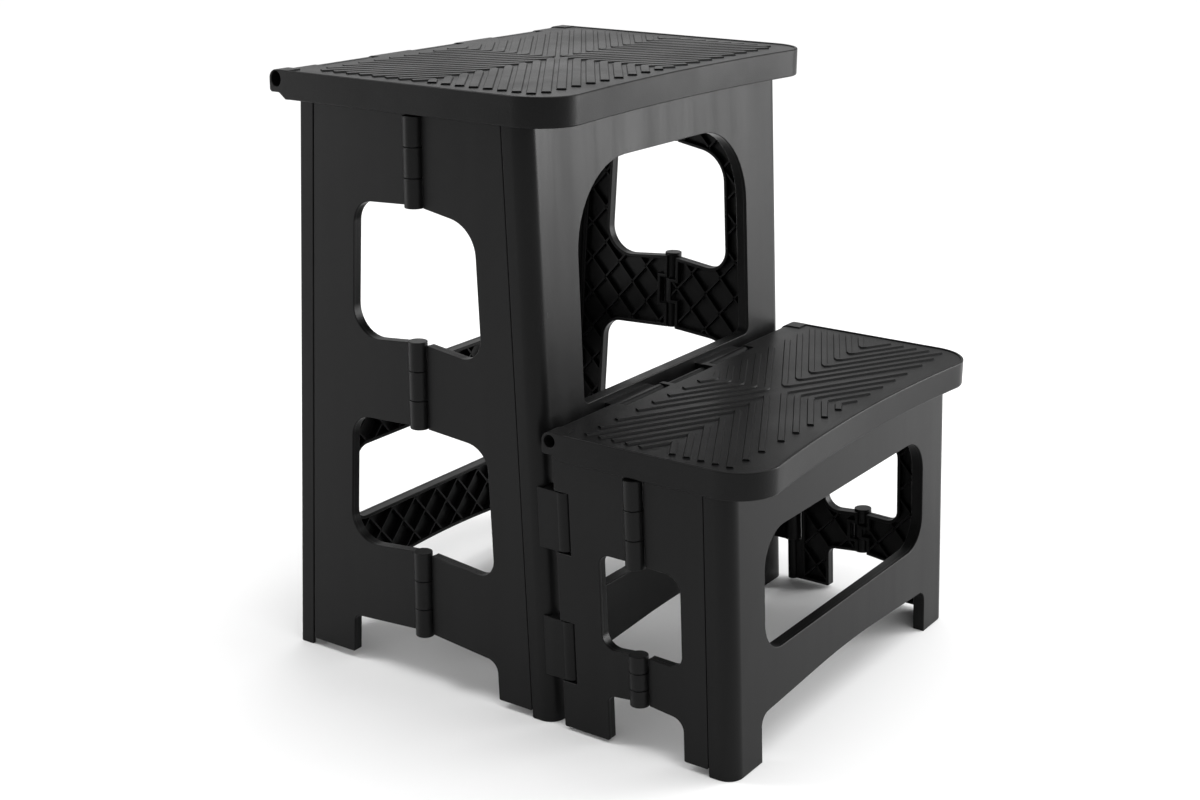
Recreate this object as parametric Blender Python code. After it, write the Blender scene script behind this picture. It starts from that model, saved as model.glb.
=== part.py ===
"""Folding two-step stool: a tall stool with a low stool hinged to its front.

World frame: X is the width, with the stool symmetric about X = 0.  -Y is the front, where the
low step is.  +Z is up, and the feet stand on Z = 0.  Every length is in metres.
"""
import math

import bmesh
import bpy
from mathutils import Matrix, Vector

# ---------------------------------------------------------------- driving dimensions
HEIGHT = 0.450                # top of the upper tread
LOW_HEIGHT = 0.224            # top of the lower tread
PANEL_WIDTH = 0.338           # outer width of every upright panel
BASE_DEPTH = 0.2476           # rear foot to front foot of the tall stool, outer faces
LOW_REACH = 0.149             # front foot of the tall stool to front foot of the low stool
LOW_TREAD_OVERHANG = 0.0105   # lower tread past the low front foot
SPLAY = 0.055                 # tall panels lean in by this much per metre of height
LOW_SPLAY = 0.050             # so does the low front panel

# treads
UPPER_SIDE_OVERHANG = 0.007   # treads past the panels' side faces
LOW_SIDE_OVERHANG = 0.0045
UPPER_NOSE = 0.0023           # upper tread past the tall front foot
UPPER_SKIRT = 0.021
LOW_SKIRT = 0.020
TREAD_WALL = 0.003
TREAD_CORNER = 0.032
TREAD_HOLLOW = 0.008          # how far the front edge bows in at its middle
TREAD_BARREL = 0.0063
HINGE_DROP = TREAD_BARREL + 0.0005       # tread hinge axis below the tread's top
HINGE_SETBACK = TREAD_BARREL + 0.0002    # tread's rear end behind that axis
SKIRT_END = 0.0164            # skirt height beside the hinge
SKIRT_SLOPE_START = 0.0082    # where the skirt starts to rise, in front of the axis
SKIRT_SLOPE_END = 0.0022
UPPER_STANDOFF = 0.0160       # upper tread axis behind the rear panel's face
LOW_STANDOFF = 0.0105         # lower tread axis in front of the tall front panel's face
TREAD_KNUCKLE = 0.0052
TREAD_ROD = 0.0025
TREAD_HOLE = 0.0045           # open hole at each end of a tread's hinge
TREAD_HOLE_DEPTH = 0.012
ROD_END_GAP = 0.0005          # the rod stops short of them
ARM_THICKNESS = 0.007
SLOT_GAP = 0.0005             # each side of an arm
UPPER_ARMS = ((-0.104, 0.060), (0.0, 0.056), (0.104, 0.060))     # middle and width of each arm
LOW_ARMS = ((-0.0615, 0.057), (0.0615, 0.057))
FINGER_NOTCH = (0.054, 0.0155)   # width of the notch in the lower tread's rear edge, and its depth

# upright panels
SKIN = 0.003
CORNER = 0.0085               # rounded upright corners of the front panels
REAR_CORNER = 0.002
REAR_RETURN = 0.013           # depth of the rear panel's side walls
FRONT_RETURN = 0.020
RIM = 0.003                   # wall round each opening
RIM_DEPTH = 0.0095
TREAD_CLEARANCE = 0.0004      # under a tread
FOOT_WIDTH = 0.039

# side leaves
LEAF = 0.010                  # thickness
LEAF_RIM = 0.003
LEAF_FOOT_LIFT = 0.0055
LOW_REAR_FOOT_LIFT = 0.0025
LEAF_TOP_DROP = HINGE_DROP + TREAD_BARREL + 0.0014    # leaves stop this far below a tread's top

# leaf hinges
CORNER_BARREL = 0.004
CORNER_AXIS_IN = SKIN + CORNER_BARREL + 0.001    # corner hinge axes in from the outer side face
CORNER_ROD = 0.0016
REAR_AXIS = 0.0215            # axis A in front of the rear panel's face
FRONT_AXIS = 0.0121           # axis C behind a front panel's face
BRACKET_AXIS = 0.013          # axis of the low stool in front of the tall front panel's face
BRACKET_RADIUS = 0.0076
# outline of a bracket block in plan: inset from the side face, depth behind the panel's face
BRACKET_PLAN = ((0.0007, -BRACKET_AXIS), (0.0140, -BRACKET_AXIS), (0.0140, 0.0018), (0.0024, 0.0018),
                (0.0024, 0.0060), (0.0007, 0.0060))
BRACKET_GAP = 0.0006
OPEN_PIVOT_GAP = 0.0004       # more room at the front corners, where the linkage closes
LEAF_EDGE_PAST_AXIS = 0.0015
LOW_LEAF_EDGE_PAST_AXIS = 0.004
MIDDLE_AXIS_OUT = 0.0004      # middle hinge axis outside the outer side face
MIDDLE_BARREL = 0.007
MIDDLE_PIN = 0.0020
FIT = 0.0003                  # running clearance
LEAF_GAP = 0.0004             # each leaf's edge to the middle hinge plane
CORNER_KNUCKLE = 0.024        # length of a panel's knuckle
KNUCKLE_WEB = 0.006           # thickness of the web that carries it
KNUCKLE_LEVELS = (0.070, HEIGHT - 0.050)
LOW_KNUCKLE_LEVELS = (0.055, LOW_HEIGHT - 0.052)
ROD_SHORT = 0.002             # corner rods stop this far inside their barrels
PIN_SHORT = 0.001             # so do the middle pins
REAR_EDGE_RIM = 0.006         # a leaf's walls beside its hinges, past the barrel
LOW_REAR_EDGE_RIM = 0.010
MIDDLE_EDGE_RIM = 0.009
FRONT_EDGE_RIM = 0.010

# levels of the openings, from the floor; the ones with DROP are measured down from a tread
CUT_TOP = 0.042
CUT_DROP = 0.007              # a panel's foot arch is this much lower at its ends
CUT_REAR_MARGIN = 0.0345
CUT_FRONT_MARGIN = 0.038
LOWER_WINDOW = (0.105, 0.203)
UPPER_WINDOW_BOTTOM = 0.266
UPPER_WINDOW_DROP = 0.085
WINDOW_MARGIN = 0.036         # window edge to the front hinge axis
WINDOW_REAR_MARGIN = 0.031    # and to the rear one
LOW_CUT_TOP = 0.040
LOW_WINDOW_BOTTOM = 0.0745
LOW_WINDOW_DROP = 0.082
LOW_REAR_MARGIN = 0.0315
LOW_FRONT_MARGIN = 0.0275
PANEL_MARGIN = 0.054          # opening edge to the panel's side face
LOW_PANEL_MARGIN = 0.045
REAR_LOWER_OPENING = (0.088, 0.149)
REAR_UPPER_BOTTOM = 0.201
REAR_UPPER_DROP = 0.070
FRONT_LOWER_OPENING = (0.083, 0.149)
ARCH_BOTTOM_RISE = 0.002      # above the lower tread's top
ARCH_DROP = 0.0555
ARCH_RADIUS = 0.062
LOW_OPENING = (0.077, 0.1655)

# knuckle groups along the middle hinges: lowest, highest level
MIDDLE_BARRELS = {"bottom": (0.0395, 0.107), "middle": (0.2025, 0.268),
                  "top": (HEIGHT - 0.0865, HEIGHT - UPPER_SKIRT - 0.001)}
LOW_MIDDLE_BARRELS = {"bottom": (0.0385, 0.0765), "top": (0.1395, LOW_HEIGHT - LOW_SKIRT - 0.001)}
BRACKETS = ((0.0385, 0.0835), (0.1355, 0.1795))

# ---------------------------------------------------------------- derived places
PAST = 0.010                  # cutters run this far past what they cut
HALF = PANEL_WIDTH / 2
UPPER_TREAD_WIDTH = PANEL_WIDTH + 2 * UPPER_SIDE_OVERHANG
LOW_TREAD_WIDTH = PANEL_WIDTH + 2 * LOW_SIDE_OVERHANG
TOTAL_DEPTH = BASE_DEPTH + LOW_REACH + LOW_TREAD_OVERHANG
REAR_Y = TOTAL_DEPTH / 2
FRONT_Y = REAR_Y - BASE_DEPTH
LOW_Y = FRONT_Y - LOW_REACH
UPPER_AXIS_Z = HEIGHT - HINGE_DROP
LOW_AXIS_Z = LOW_HEIGHT - HINGE_DROP
ROUND = 12                    # sides of a round piece
SMALL_ROUND = 8               # sides of a rod, a bore or a corner barrel
CORNER_STEPS = 5              # steps round a tread's corner
EDGE_STEPS = 8                # and along its hollow front edge
END_STEPS = 4                 # and round its rear edge
# the leaning walls meet at very shallow angles, where the exact solver leaves slits
SOLVER = "MANIFOLD"


def line(start, slope):
    """A line that gives Y from Z."""
    return lambda z: start + slope * z


rear_face = line(REAR_Y, -SPLAY)
front_face = line(FRONT_Y, SPLAY)
low_face = line(LOW_Y, LOW_SPLAY)
axis_a = line(REAR_Y - REAR_AXIS, -SPLAY)
axis_c = line(FRONT_Y + FRONT_AXIS, SPLAY)
axis_b = line((axis_a(0) + axis_c(0)) / 2, 0.0)
low_a = line(FRONT_Y - BRACKET_AXIS, SPLAY)
low_c = line(LOW_Y + FRONT_AXIS, LOW_SPLAY)
low_b = line((low_a(0) + low_c(0)) / 2, (SPLAY + LOW_SPLAY) / 2)
UPPER_AXIS_Y = rear_face(UPPER_AXIS_Z) + UPPER_STANDOFF
LOW_AXIS_Y = front_face(LOW_AXIS_Z) - LOW_STANDOFF
UPPER_TREAD_DEPTH = UPPER_AXIS_Y + HINGE_SETBACK - (FRONT_Y - UPPER_NOSE)
LOW_TREAD_FRONT = LOW_Y - LOW_TREAD_OVERHANG
LOW_TREAD_DEPTH = LOW_AXIS_Y + HINGE_SETBACK - LOW_TREAD_FRONT

# ---------------------------------------------------------------- scene
for old in list(bpy.data.objects):
    bpy.data.objects.remove(old)

parts = bpy.data.collections.new("folding_step_stool")
cutters = bpy.data.collections.new("cutters")
bpy.context.scene.collection.children.link(parts)
bpy.context.scene.collection.children.link(cutters)


def plastic(name, value, roughness):
    """A dark moulded plastic."""
    material = bpy.data.materials.new(name)
    material.use_nodes = True
    shader = material.node_tree.nodes["Principled BSDF"]
    shader.inputs["Base Color"].default_value = (value, value, value * 1.02, 1.0)
    shader.inputs["Roughness"].default_value = roughness
    return material


def steel(name):
    """Bright pin steel."""
    material = bpy.data.materials.new(name)
    material.use_nodes = True
    shader = material.node_tree.nodes["Principled BSDF"]
    shader.inputs["Base Color"].default_value = (0.45, 0.46, 0.47, 1.0)
    shader.inputs["Roughness"].default_value = 0.35
    shader.inputs["Metallic"].default_value = 1.0
    return material


# ---------------------------------------------------------------- shape helpers
def rounded(corners):
    """Outline points from (a, b, radius) corners; a radius of 0 keeps the corner sharp."""
    points = []
    count = len(corners)
    for i, (a, b, radius) in enumerate(corners):
        here = Vector((a, b))
        if radius == 0:
            points.append(here)
            continue
        before = Vector(corners[i - 1][:2]) - here
        after = Vector(corners[(i + 1) % count][:2]) - here
        half = before.angle(after) / 2
        reach = radius / math.tan(half)
        start = here + before.normalized() * reach
        middle = here + (before.normalized() + after.normalized()).normalized() * radius / math.sin(half)
        steps = 1 + round(math.sqrt(radius / 0.004))
        sweep = (start - middle).angle_signed(here + after.normalized() * reach - middle)
        for step in range(steps + 1):
            turn = Matrix.Rotation(-sweep * step / steps, 2)
            points.append(middle + turn @ (start - middle))
    return points


def grown(corners, amount):
    """The same corners with every side moved outwards by amount; corners run anticlockwise."""
    moved = []
    count = len(corners)
    for i, (a, b, radius) in enumerate(corners):
        here = Vector((a, b))
        along_in = (here - Vector(corners[i - 1][:2])).normalized()
        along_out = (Vector(corners[(i + 1) % count][:2]) - here).normalized()
        out_in = Vector((along_in.y, -along_in.x))
        out_out = Vector((along_out.y, -along_out.x))
        shift = (out_in + out_out) / (1 + out_in.dot(out_out)) * amount
        turns_out = along_in.cross(along_out) > 0
        if radius == 0:
            new_radius = 0
        elif turns_out:
            new_radius = max(radius + amount, 0.0005)
        else:
            new_radius = max(radius - amount, 0.0005)
        moved.append((here.x + shift.x, here.y + shift.y, new_radius))
    return moved


def plate(name, loops, low, high, place, home=None):
    """A flat piece from closed outlines: the first is its edge, the others are holes.

    It spans low to high across its thickness, and place turns (a, b, thickness) into a point.
    """
    flat = bpy.data.curves.new(name, "CURVE")
    flat.dimensions = "2D"
    flat.fill_mode = "BOTH"
    flat.extrude = (high - low) / 2
    for loop in loops:
        spline = flat.splines.new("POLY")
        spline.points.add(len(loop) - 1)
        for point, corner in zip(spline.points, loop):
            point.co = (corner[0], corner[1], 0, 1)
        spline.use_cyclic_u = True
    holder = bpy.data.objects.new(name + "_outline", flat)
    bpy.context.scene.collection.objects.link(holder)
    mesh = bpy.data.meshes.new_from_object(holder.evaluated_get(bpy.context.evaluated_depsgraph_get()))
    bpy.data.objects.remove(holder)
    for vertex in mesh.vertices:
        a, b, c = vertex.co
        vertex.co = place(a, b, c + (low + high) / 2)
    return solid(name, mesh, home)


def solid(name, mesh, home=None):
    """Weld a mesh, turn its faces outwards and make it an object."""
    form = bmesh.new()
    form.from_mesh(mesh)
    bmesh.ops.remove_doubles(form, verts=form.verts, dist=0.00001)
    bmesh.ops.recalc_face_normals(form, faces=form.faces)
    form.to_mesh(mesh)
    form.free()
    mesh.name = name
    thing = bpy.data.objects.new(name, mesh)
    (home or cutters).objects.link(thing)
    if home is None:
        thing.hide_render = True
        thing.display_type = "WIRE"
    return thing


def cylinder(name, start, end, radius, home=None, sides=ROUND):
    """A round bar between two points."""
    start, end = Vector(start), Vector(end)
    along = end - start
    turn = along.to_track_quat("Z", "Y").to_matrix().to_4x4()
    form = bmesh.new()
    bmesh.ops.create_cone(form, cap_ends=True, segments=sides, radius1=radius, radius2=radius,
                          depth=along.length, matrix=Matrix.Translation((start + end) / 2) @ turn)
    mesh = bpy.data.meshes.new(name)
    form.to_mesh(mesh)
    form.free()
    return solid(name, mesh, home)


def thin_bar(name, start, end, radius, home=None):
    """A thin round bar."""
    return cylinder(name, start, end, radius, home, SMALL_ROUND)


def box(name, low, high):
    """A block between two corners."""
    form = bmesh.new()
    bmesh.ops.create_cube(form, size=1.0)
    low, high = Vector(low), Vector(high)
    for vertex in form.verts:
        vertex.co = Vector([low[i] + (vertex.co[i] + 0.5) * (high[i] - low[i]) for i in range(3)])
    mesh = bpy.data.meshes.new(name)
    form.to_mesh(mesh)
    form.free()
    return solid(name, mesh)


def combine(target, tool, operation):
    """Add a live boolean to target."""
    change = target.modifiers.new(tool.name, "BOOLEAN")
    change.operation = operation
    change.solver = SOLVER
    change.object = tool


def cut(target, *tools):
    for tool in tools:
        combine(target, tool, "DIFFERENCE")


def join(target, *tools):
    for tool in tools:
        combine(target, tool, "UNION")


def empty(name, place, parent=None):
    """A bare axis that moving pieces hang on."""
    holder = bpy.data.objects.new(name, None)
    holder.empty_display_size = 0.03
    parts.objects.link(holder)
    holder.location = place
    if parent:
        bpy.context.view_layer.update()
        holder.parent = parent
        holder.matrix_parent_inverse = parent.matrix_world.inverted()
    bpy.context.view_layer.update()
    return holder


def attach(thing, holder, material):
    """Hang a piece on an axis without moving it, and give it its material."""
    thing.parent = holder
    thing.matrix_parent_inverse = holder.matrix_world.inverted()
    thing.data.materials.clear()
    thing.data.materials.append(material)


# ---------------------------------------------------------------- frames of the flat pieces
def on_panel(face, inward):
    """Place (x, z, depth) on an upright panel whose outer face is face(z)."""
    return lambda x, z, depth: (x, face(z) + inward * depth, z)


def on_side(side):
    """Place (y, z, depth) on a side, with depth measured in from its outer face."""
    return lambda y, z, depth: (side * (HALF - depth), y, z)


def on_axis(side, inset, axis):
    """A point on an upright hinge axis at a height."""
    return lambda z: Vector((side * (HALF - inset), axis(z), z))


# ---------------------------------------------------------------- openings
def window(rear, middle, front, margins, levels, radii):
    """Corners of a side window, anticlockwise seen with +Y to the right.

    levels are its (bottom, top) at the middle hinge, and each corner drops or rises from them by
    the amount that comes with its radius: front top, rear top, rear bottom, front bottom.
    """
    bottom, top = levels
    (ft, ft_r), (rt, rt_r), (rb, rb_r), (fb, fb_r) = radii
    rear_edge = lambda z: rear(z) - margins[0]
    front_edge = lambda z: front(z) + margins[1]
    return [
        (middle(bottom), bottom, 0),
        (rear_edge(bottom - rb), bottom - rb, rb_r),
        (rear_edge(top - rt), top - rt, rt_r),
        (middle(top), top, 0),
        (front_edge(top - ft), top - ft, ft_r),
        (front_edge(bottom - fb), bottom - fb, fb_r),
    ]


def bottom_cut(rear, middle, front, margins, top, rear_drop, front_drop):
    """Corners of the arch between a side's two feet."""
    rear_edge = lambda z: rear(z) - margins[0]
    front_edge = lambda z: front(z) + margins[1]
    return [
        (rear_edge(-PAST), -PAST, 0),
        (rear_edge(top - rear_drop), top - rear_drop, 0.006),
        (middle(top), top, 0),
        (front_edge(top - front_drop), top - front_drop, 0.010),
        (front_edge(-PAST), -PAST, 0),
    ]


def panel_opening(half, bottom, top, low_radius, high_radius):
    """Corners of an opening in an upright panel."""
    return [(-half, bottom, low_radius), (half, bottom, low_radius),
            (half, top, high_radius), (-half, top, high_radius)]


def panel_cut(half, top):
    """Corners of the arch between a panel's feet."""
    return [(half, -PAST, 0), (half, top - CUT_DROP, 0.009), (0.0, top, 0),
            (-half, top - CUT_DROP, 0.009), (-half, -PAST, 0)]


WINDOW_TOP = HEIGHT - UPPER_WINDOW_DROP
TALL_WINDOWS = [
    window(axis_a, axis_b, axis_c, (WINDOW_REAR_MARGIN, WINDOW_MARGIN), LOWER_WINDOW,
           ((0.005, 0.020), (0.003, 0.018), (0.007, 0.022), (0.0065, 0.014))),
    window(axis_a, axis_b, axis_c, (WINDOW_REAR_MARGIN, WINDOW_MARGIN),
           (UPPER_WINDOW_BOTTOM, WINDOW_TOP),
           ((0.009, 0.026), (0.003, 0.017), (0.006, 0.022), (0.0075, 0.016))),
    bottom_cut(axis_a, axis_b, axis_c, (CUT_REAR_MARGIN, CUT_FRONT_MARGIN), CUT_TOP, 0.005, 0.007),
]
LOW_WINDOWS = [
    window(low_a, low_b, low_c, (LOW_REAR_MARGIN, LOW_FRONT_MARGIN),
           (LOW_WINDOW_BOTTOM, LOW_HEIGHT - LOW_WINDOW_DROP),
           ((0.002, 0.013), (0.0, 0.008), (0.003, 0.012), (0.001, 0.009))),
    bottom_cut(low_a, low_b, low_c, (CUT_REAR_MARGIN, LOW_FRONT_MARGIN), LOW_CUT_TOP, 0.003, 0.004),
]


# ---------------------------------------------------------------- upright panels
def panel_section(half, corner, depth):
    """Half-open U section of an upright panel, in (x, depth), wall thickness SKIN."""
    outer = [(-half, depth, 0), (-half, 0, corner), (half, 0, corner), (half, depth, 0)]
    inner_corner = max(corner - SKIN, 0.0005)
    inner = [(half - SKIN, depth, 0), (half - SKIN, SKIN, inner_corner),
             (-half + SKIN, SKIN, inner_corner), (-half + SKIN, depth, 0)]
    return rounded(outer + inner)


def upright_panel(name, face, inward, top, corner, depth, openings):
    """A U-shaped panel with a rim round each opening."""
    section = panel_section(HALF, corner, depth)
    panel = plate(name, [section], 0.0, top, lambda x, d, z: (x, face(z) + inward * d, z), parts)
    place = on_panel(face, inward)
    beam = rounded([(-HALF + SKIN / 2, top - RIM, 0), (HALF - SKIN / 2, top - RIM, 0),
                    (HALF - SKIN / 2, top, 0), (-HALF + SKIN / 2, top, 0)])
    join(panel, plate(name + "_top_beam", [beam], SKIN / 2, RIM_DEPTH, place))
    for i, corners in enumerate(openings):
        ring = plate(f"{name}_rim_{i}", [rounded(grown(corners, RIM))], SKIN / 2, RIM_DEPTH, place)
        join(panel, ring)
    for i, corners in enumerate(openings):
        cut(panel, plate(f"{name}_opening_{i}", [rounded(corners)], -PAST, depth + PAST, place))
    cut(panel, box(name + "_floor", (-HALF - PAST, LOW_Y - PAST, -HEIGHT), (HALF + PAST, REAR_Y + PAST, 0.0)))
    return panel


def corner_knuckles(panel, leaf, point, face, inward, reach, levels, room=0.0):
    """Knuckles of a panel on a corner axis, and the notches they need in the leaf."""
    for i, level in enumerate(levels):
        low, high = level - CORNER_KNUCKLE / 2, level + CORNER_KNUCKLE / 2
        tag = f"{leaf.name}_{panel.name}_{i}"
        web_x = (point(level).x - KNUCKLE_WEB / 2, point(level).x + KNUCKLE_WEB / 2)
        web = plate(tag + "_web", [[(web_x[0], low), (web_x[1], low), (web_x[1], high), (web_x[0], high)]],
                    SKIN / 2, reach, on_panel(face, inward))
        join(panel, web, thin_bar(tag + "_knuckle", point(low), point(high), CORNER_BARREL))
        cut(leaf, thin_bar(tag + "_notch", point(low - FIT - room), point(high + FIT + room),
                           CORNER_BARREL + LEAF_GAP + room))
        cut(panel, thin_bar(tag + "_bore", point(low - PAST), point(high + PAST), CORNER_ROD + FIT + room))


# ---------------------------------------------------------------- side leaves
def leaf_slab(name, side, rear, front, bottom, top, windows, rear_rim, front_rim):
    """A leaf between two upright edges, with a hollow inner face and its windows cut out."""
    place = on_side(side)
    edge = [(front(bottom), bottom), (rear(bottom), bottom), (rear(top), top), (front(top), top)]
    leaf = plate(name, [edge], 0.0, LEAF, place, parts)
    inner_low, inner_high = bottom + LEAF_RIM, top - LEAF_RIM
    inside = [(front(inner_low) + front_rim, inner_low), (rear(inner_low) - rear_rim, inner_low),
              (rear(inner_high) - rear_rim, inner_high), (front(inner_high) + front_rim, inner_high)]
    pocket = plate(name + "_pocket", [inside], SKIN, LEAF + PAST / 2, place)
    for i, corners in enumerate(windows):
        rim = rounded(grown(corners, LEAF_RIM))
        cut(pocket, plate(f"{name}_window_rim_{i}", [rim], -PAST, LEAF + PAST, place))
        cut(leaf, plate(f"{name}_window_{i}", [rounded(corners)], -PAST, LEAF + PAST, place))
    cut(leaf, pocket)
    return leaf


def edge_barrel(leaf, point, low, high):
    """A barrel down a leaf's edge, to carry its corner rod."""
    join(leaf, thin_bar(leaf.name + "_barrel", point(low), point(high), CORNER_BARREL))


def edge_bore(leaf, point, low, high):
    """The rod's bore through that barrel."""
    cut(leaf, thin_bar(leaf.name + "_bore", point(low - PAST), point(high + PAST), CORNER_ROD + FIT))


def corner_rod(name, point, low, high, holder):
    """The rod through a corner hinge."""
    bar = thin_bar(name, point(low + ROD_SHORT), point(high - ROD_SHORT), CORNER_ROD, parts)
    attach(bar, holder, pin_steel)


def return_step(leaf, side, front, slope):
    """Thin a front leaf where it passes inside the side wall of its panel."""
    end = line(front + FRONT_RETURN + LEAF_GAP, slope)
    start = line(front - PAST, slope)
    strip = [(start(-PAST), -PAST), (end(-PAST), -PAST), (end(HEIGHT), HEIGHT), (start(HEIGHT), HEIGHT)]
    cut(leaf, plate(leaf.name + "_step", [strip], -PAST, SKIN + LEAF_GAP, on_side(side)))


def middle_hinge(rear_leaf, front_leaf, side, axis, groups, label, holder):
    """Barrels of three knuckles down the middle of a side, each group with its own pin."""
    point = on_axis(side, -MIDDLE_AXIS_OUT, axis)
    for place, (low, high) in groups.items():
        third = (high - low) / 3
        for k in range(3):
            start, end = low + third * k, low + third * (k + 1)
            mine, other = (front_leaf, rear_leaf) if k == 1 else (rear_leaf, front_leaf)
            tag = f"{label}_{place}_{k}"
            join(mine, cylinder(tag + "_knuckle", point(start + LEAF_GAP / 2), point(end - LEAF_GAP / 2),
                                MIDDLE_BARREL))
            cut(other, cylinder(tag + "_notch", point(start - LEAF_GAP / 2), point(end + LEAF_GAP / 2),
                                MIDDLE_BARREL + LEAF_GAP))
        bore = thin_bar(f"{label}_{place}_bore", point(low - PAST / 2), point(high + PAST / 2),
                        MIDDLE_PIN + FIT)
        cut(rear_leaf, bore)
        cut(front_leaf, bore)
        pin = thin_bar(f"{label}_pin_{place}", point(low + PIN_SHORT), point(high - PIN_SHORT),
                       MIDDLE_PIN, parts)
        attach(pin, holder, pin_steel)


# ---------------------------------------------------------------- treads
def tread_outline(width, rear, front, corner, inset, open_rear=0.0):
    """Outline of a tread in (x, y), with large front corners and a hollow front edge."""
    half = width / 2 - inset
    radius = corner - inset
    span = width / 2 - corner
    left = [(-half, rear + open_rear)]
    for step in range(CORNER_STEPS + 1):
        turn = math.pi / 2 * step / CORNER_STEPS
        left.append((-span - radius * math.cos(turn), front + corner - radius * math.sin(turn)))
    edge = []
    for step in range(1, EDGE_STEPS):
        x = -span + 2 * span * step / EDGE_STEPS
        edge.append((x, front + inset + TREAD_HOLLOW * (1 - (x / span) ** 2)))
    right = [(-x, y) for x, y in left[::-1]]
    return left + edge + right


def tread(name, width, top, axis_y, depth, skirt, arms):
    """A tread with a skirt on three sides and a slotted hinge barrel along its rear edge."""
    rear = axis_y + HINGE_SETBACK
    front = rear - depth
    flat = lambda x, y, z: (x, y, z)
    outline = tread_outline(width, rear, front, TREAD_CORNER, 0.0)
    board = plate(name, [outline], top - skirt, top, flat, parts)
    hollow = tread_outline(width, rear, front, TREAD_CORNER, TREAD_WALL, PAST)
    cut(board, plate(name + "_hollow", [hollow], top - skirt - PAST, top - TREAD_WALL, flat))
    axis_z = top - HINGE_DROP
    half = width / 2
    inner = half - TREAD_WALL / 2
    join(board, cylinder(name + "_barrel", (-inner, axis_y, axis_z), (inner, axis_y, axis_z), TREAD_BARREL))
    turns = [math.pi / 2 * step / END_STEPS for step in range(END_STEPS + 1)]
    round_end = [(rear - HINGE_SETBACK * (1 - math.cos(turn)), axis_z + HINGE_DROP * math.sin(turn))
                 for turn in turns]
    slope_start = axis_y - SKIRT_SLOPE_START
    under = top - skirt - PAST
    trim = [(rear + PAST, top + PAST), (rear + PAST, under), (slope_start, under), (slope_start, top - skirt),
            (axis_y - SKIRT_SLOPE_END, top - SKIRT_END), (rear, top - SKIRT_END)]
    trim += round_end + [(axis_y, top + PAST)]
    cut(board, plate(name + "_trim", [trim[::-1]], -half - PAST, half + PAST, lambda y, z, x: (x, y, z)))
    for i, (middle, arm) in enumerate(arms):
        slot = arm / 2 + SLOT_GAP
        cut(board, box(f"{name}_slot_{i}", (middle - slot, slope_start, under),
                       (middle + slot, rear + PAST, top + PAST)))
    cut(board, thin_bar(name + "_bore", (-half - PAST, axis_y, axis_z), (half + PAST, axis_y, axis_z),
                        TREAD_ROD + FIT))
    for side in (-1, 1):
        cut(board, cylinder(f"{name}_hole_{side}", (side * (half - TREAD_HOLE_DEPTH), axis_y, axis_z),
                            (side * (half + PAST), axis_y, axis_z), TREAD_HOLE))
    return board


def tread_arms(panel, name, axis_y, axis_z, face_y, arms):
    """Arms of a panel that reach out to a tread's hinge rod."""
    toward = 1 if axis_y > face_y else -1
    low_y, high_y = sorted((axis_y, face_y - toward * SKIN * 0.7))
    for i, (middle, width) in enumerate(arms):
        join(panel, box(f"{name}_arm_{i}", (middle - width / 2, low_y, axis_z - ARM_THICKNESS / 2),
                        (middle + width / 2, high_y, axis_z + ARM_THICKNESS / 2)))
        join(panel, cylinder(f"{name}_knuckle_{i}", (middle - width / 2, axis_y, axis_z),
                             (middle + width / 2, axis_y, axis_z), TREAD_KNUCKLE))
    cut(panel, thin_bar(f"{name}_arm_bore", (-HALF, axis_y, axis_z), (HALF, axis_y, axis_z), TREAD_ROD + FIT))


def tread_rod(name, width, axis_y, axis_z, holder):
    """The rod that a tread turns on, between its two end holes."""
    reach = width / 2 - TREAD_HOLE_DEPTH - ROD_END_GAP
    bar = thin_bar(name, (-reach, axis_y, axis_z), (reach, axis_y, axis_z), TREAD_ROD, parts)
    attach(bar, holder, pin_steel)


# ---------------------------------------------------------------- build
panel_black = plastic("panel_black", 0.020, 0.42)
leaf_black = plastic("leaf_black", 0.017, 0.45)
tread_black = plastic("tread_black", 0.024, 0.50)
pin_steel = steel("pin_steel")

PANEL_TOP = HEIGHT - TREAD_WALL - TREAD_CLEARANCE
LOW_PANEL_TOP = LOW_HEIGHT - TREAD_WALL - TREAD_CLEARANCE
LEAF_TOP = HEIGHT - LEAF_TOP_DROP
LOW_LEAF_TOP = LOW_HEIGHT - LEAF_TOP_DROP
PANEL_OPEN = HALF - PANEL_MARGIN
FOOT_OPEN = HALF - FOOT_WIDTH

stand = empty("stand", (0, REAR_Y, 0))
upper_lift = empty("upper_tread_axis", (0, UPPER_AXIS_Y, UPPER_AXIS_Z), stand)

rear_panel = upright_panel(
    "rear_panel", rear_face, -1, PANEL_TOP, REAR_CORNER, REAR_RETURN,
    [panel_opening(PANEL_OPEN, *REAR_LOWER_OPENING, 0.012, 0.012),
     panel_opening(PANEL_OPEN, REAR_UPPER_BOTTOM, HEIGHT - REAR_UPPER_DROP, 0.014, 0.030),
     panel_cut(FOOT_OPEN, CUT_TOP)])
front_panel = upright_panel(
    "front_panel", front_face, 1, PANEL_TOP, CORNER, FRONT_RETURN,
    [panel_opening(PANEL_OPEN, *FRONT_LOWER_OPENING, 0.012, 0.012),
     panel_opening(PANEL_OPEN, LOW_HEIGHT + ARCH_BOTTOM_RISE, HEIGHT - ARCH_DROP, 0.006, ARCH_RADIUS),
     panel_cut(FOOT_OPEN, CUT_TOP)])
low_panel = upright_panel(
    "low_front_panel", low_face, 1, LOW_PANEL_TOP, CORNER, FRONT_RETURN,
    [panel_opening(HALF - LOW_PANEL_MARGIN, *LOW_OPENING, 0.024, 0.027),
     panel_cut(FOOT_OPEN, CUT_TOP)])

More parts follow.
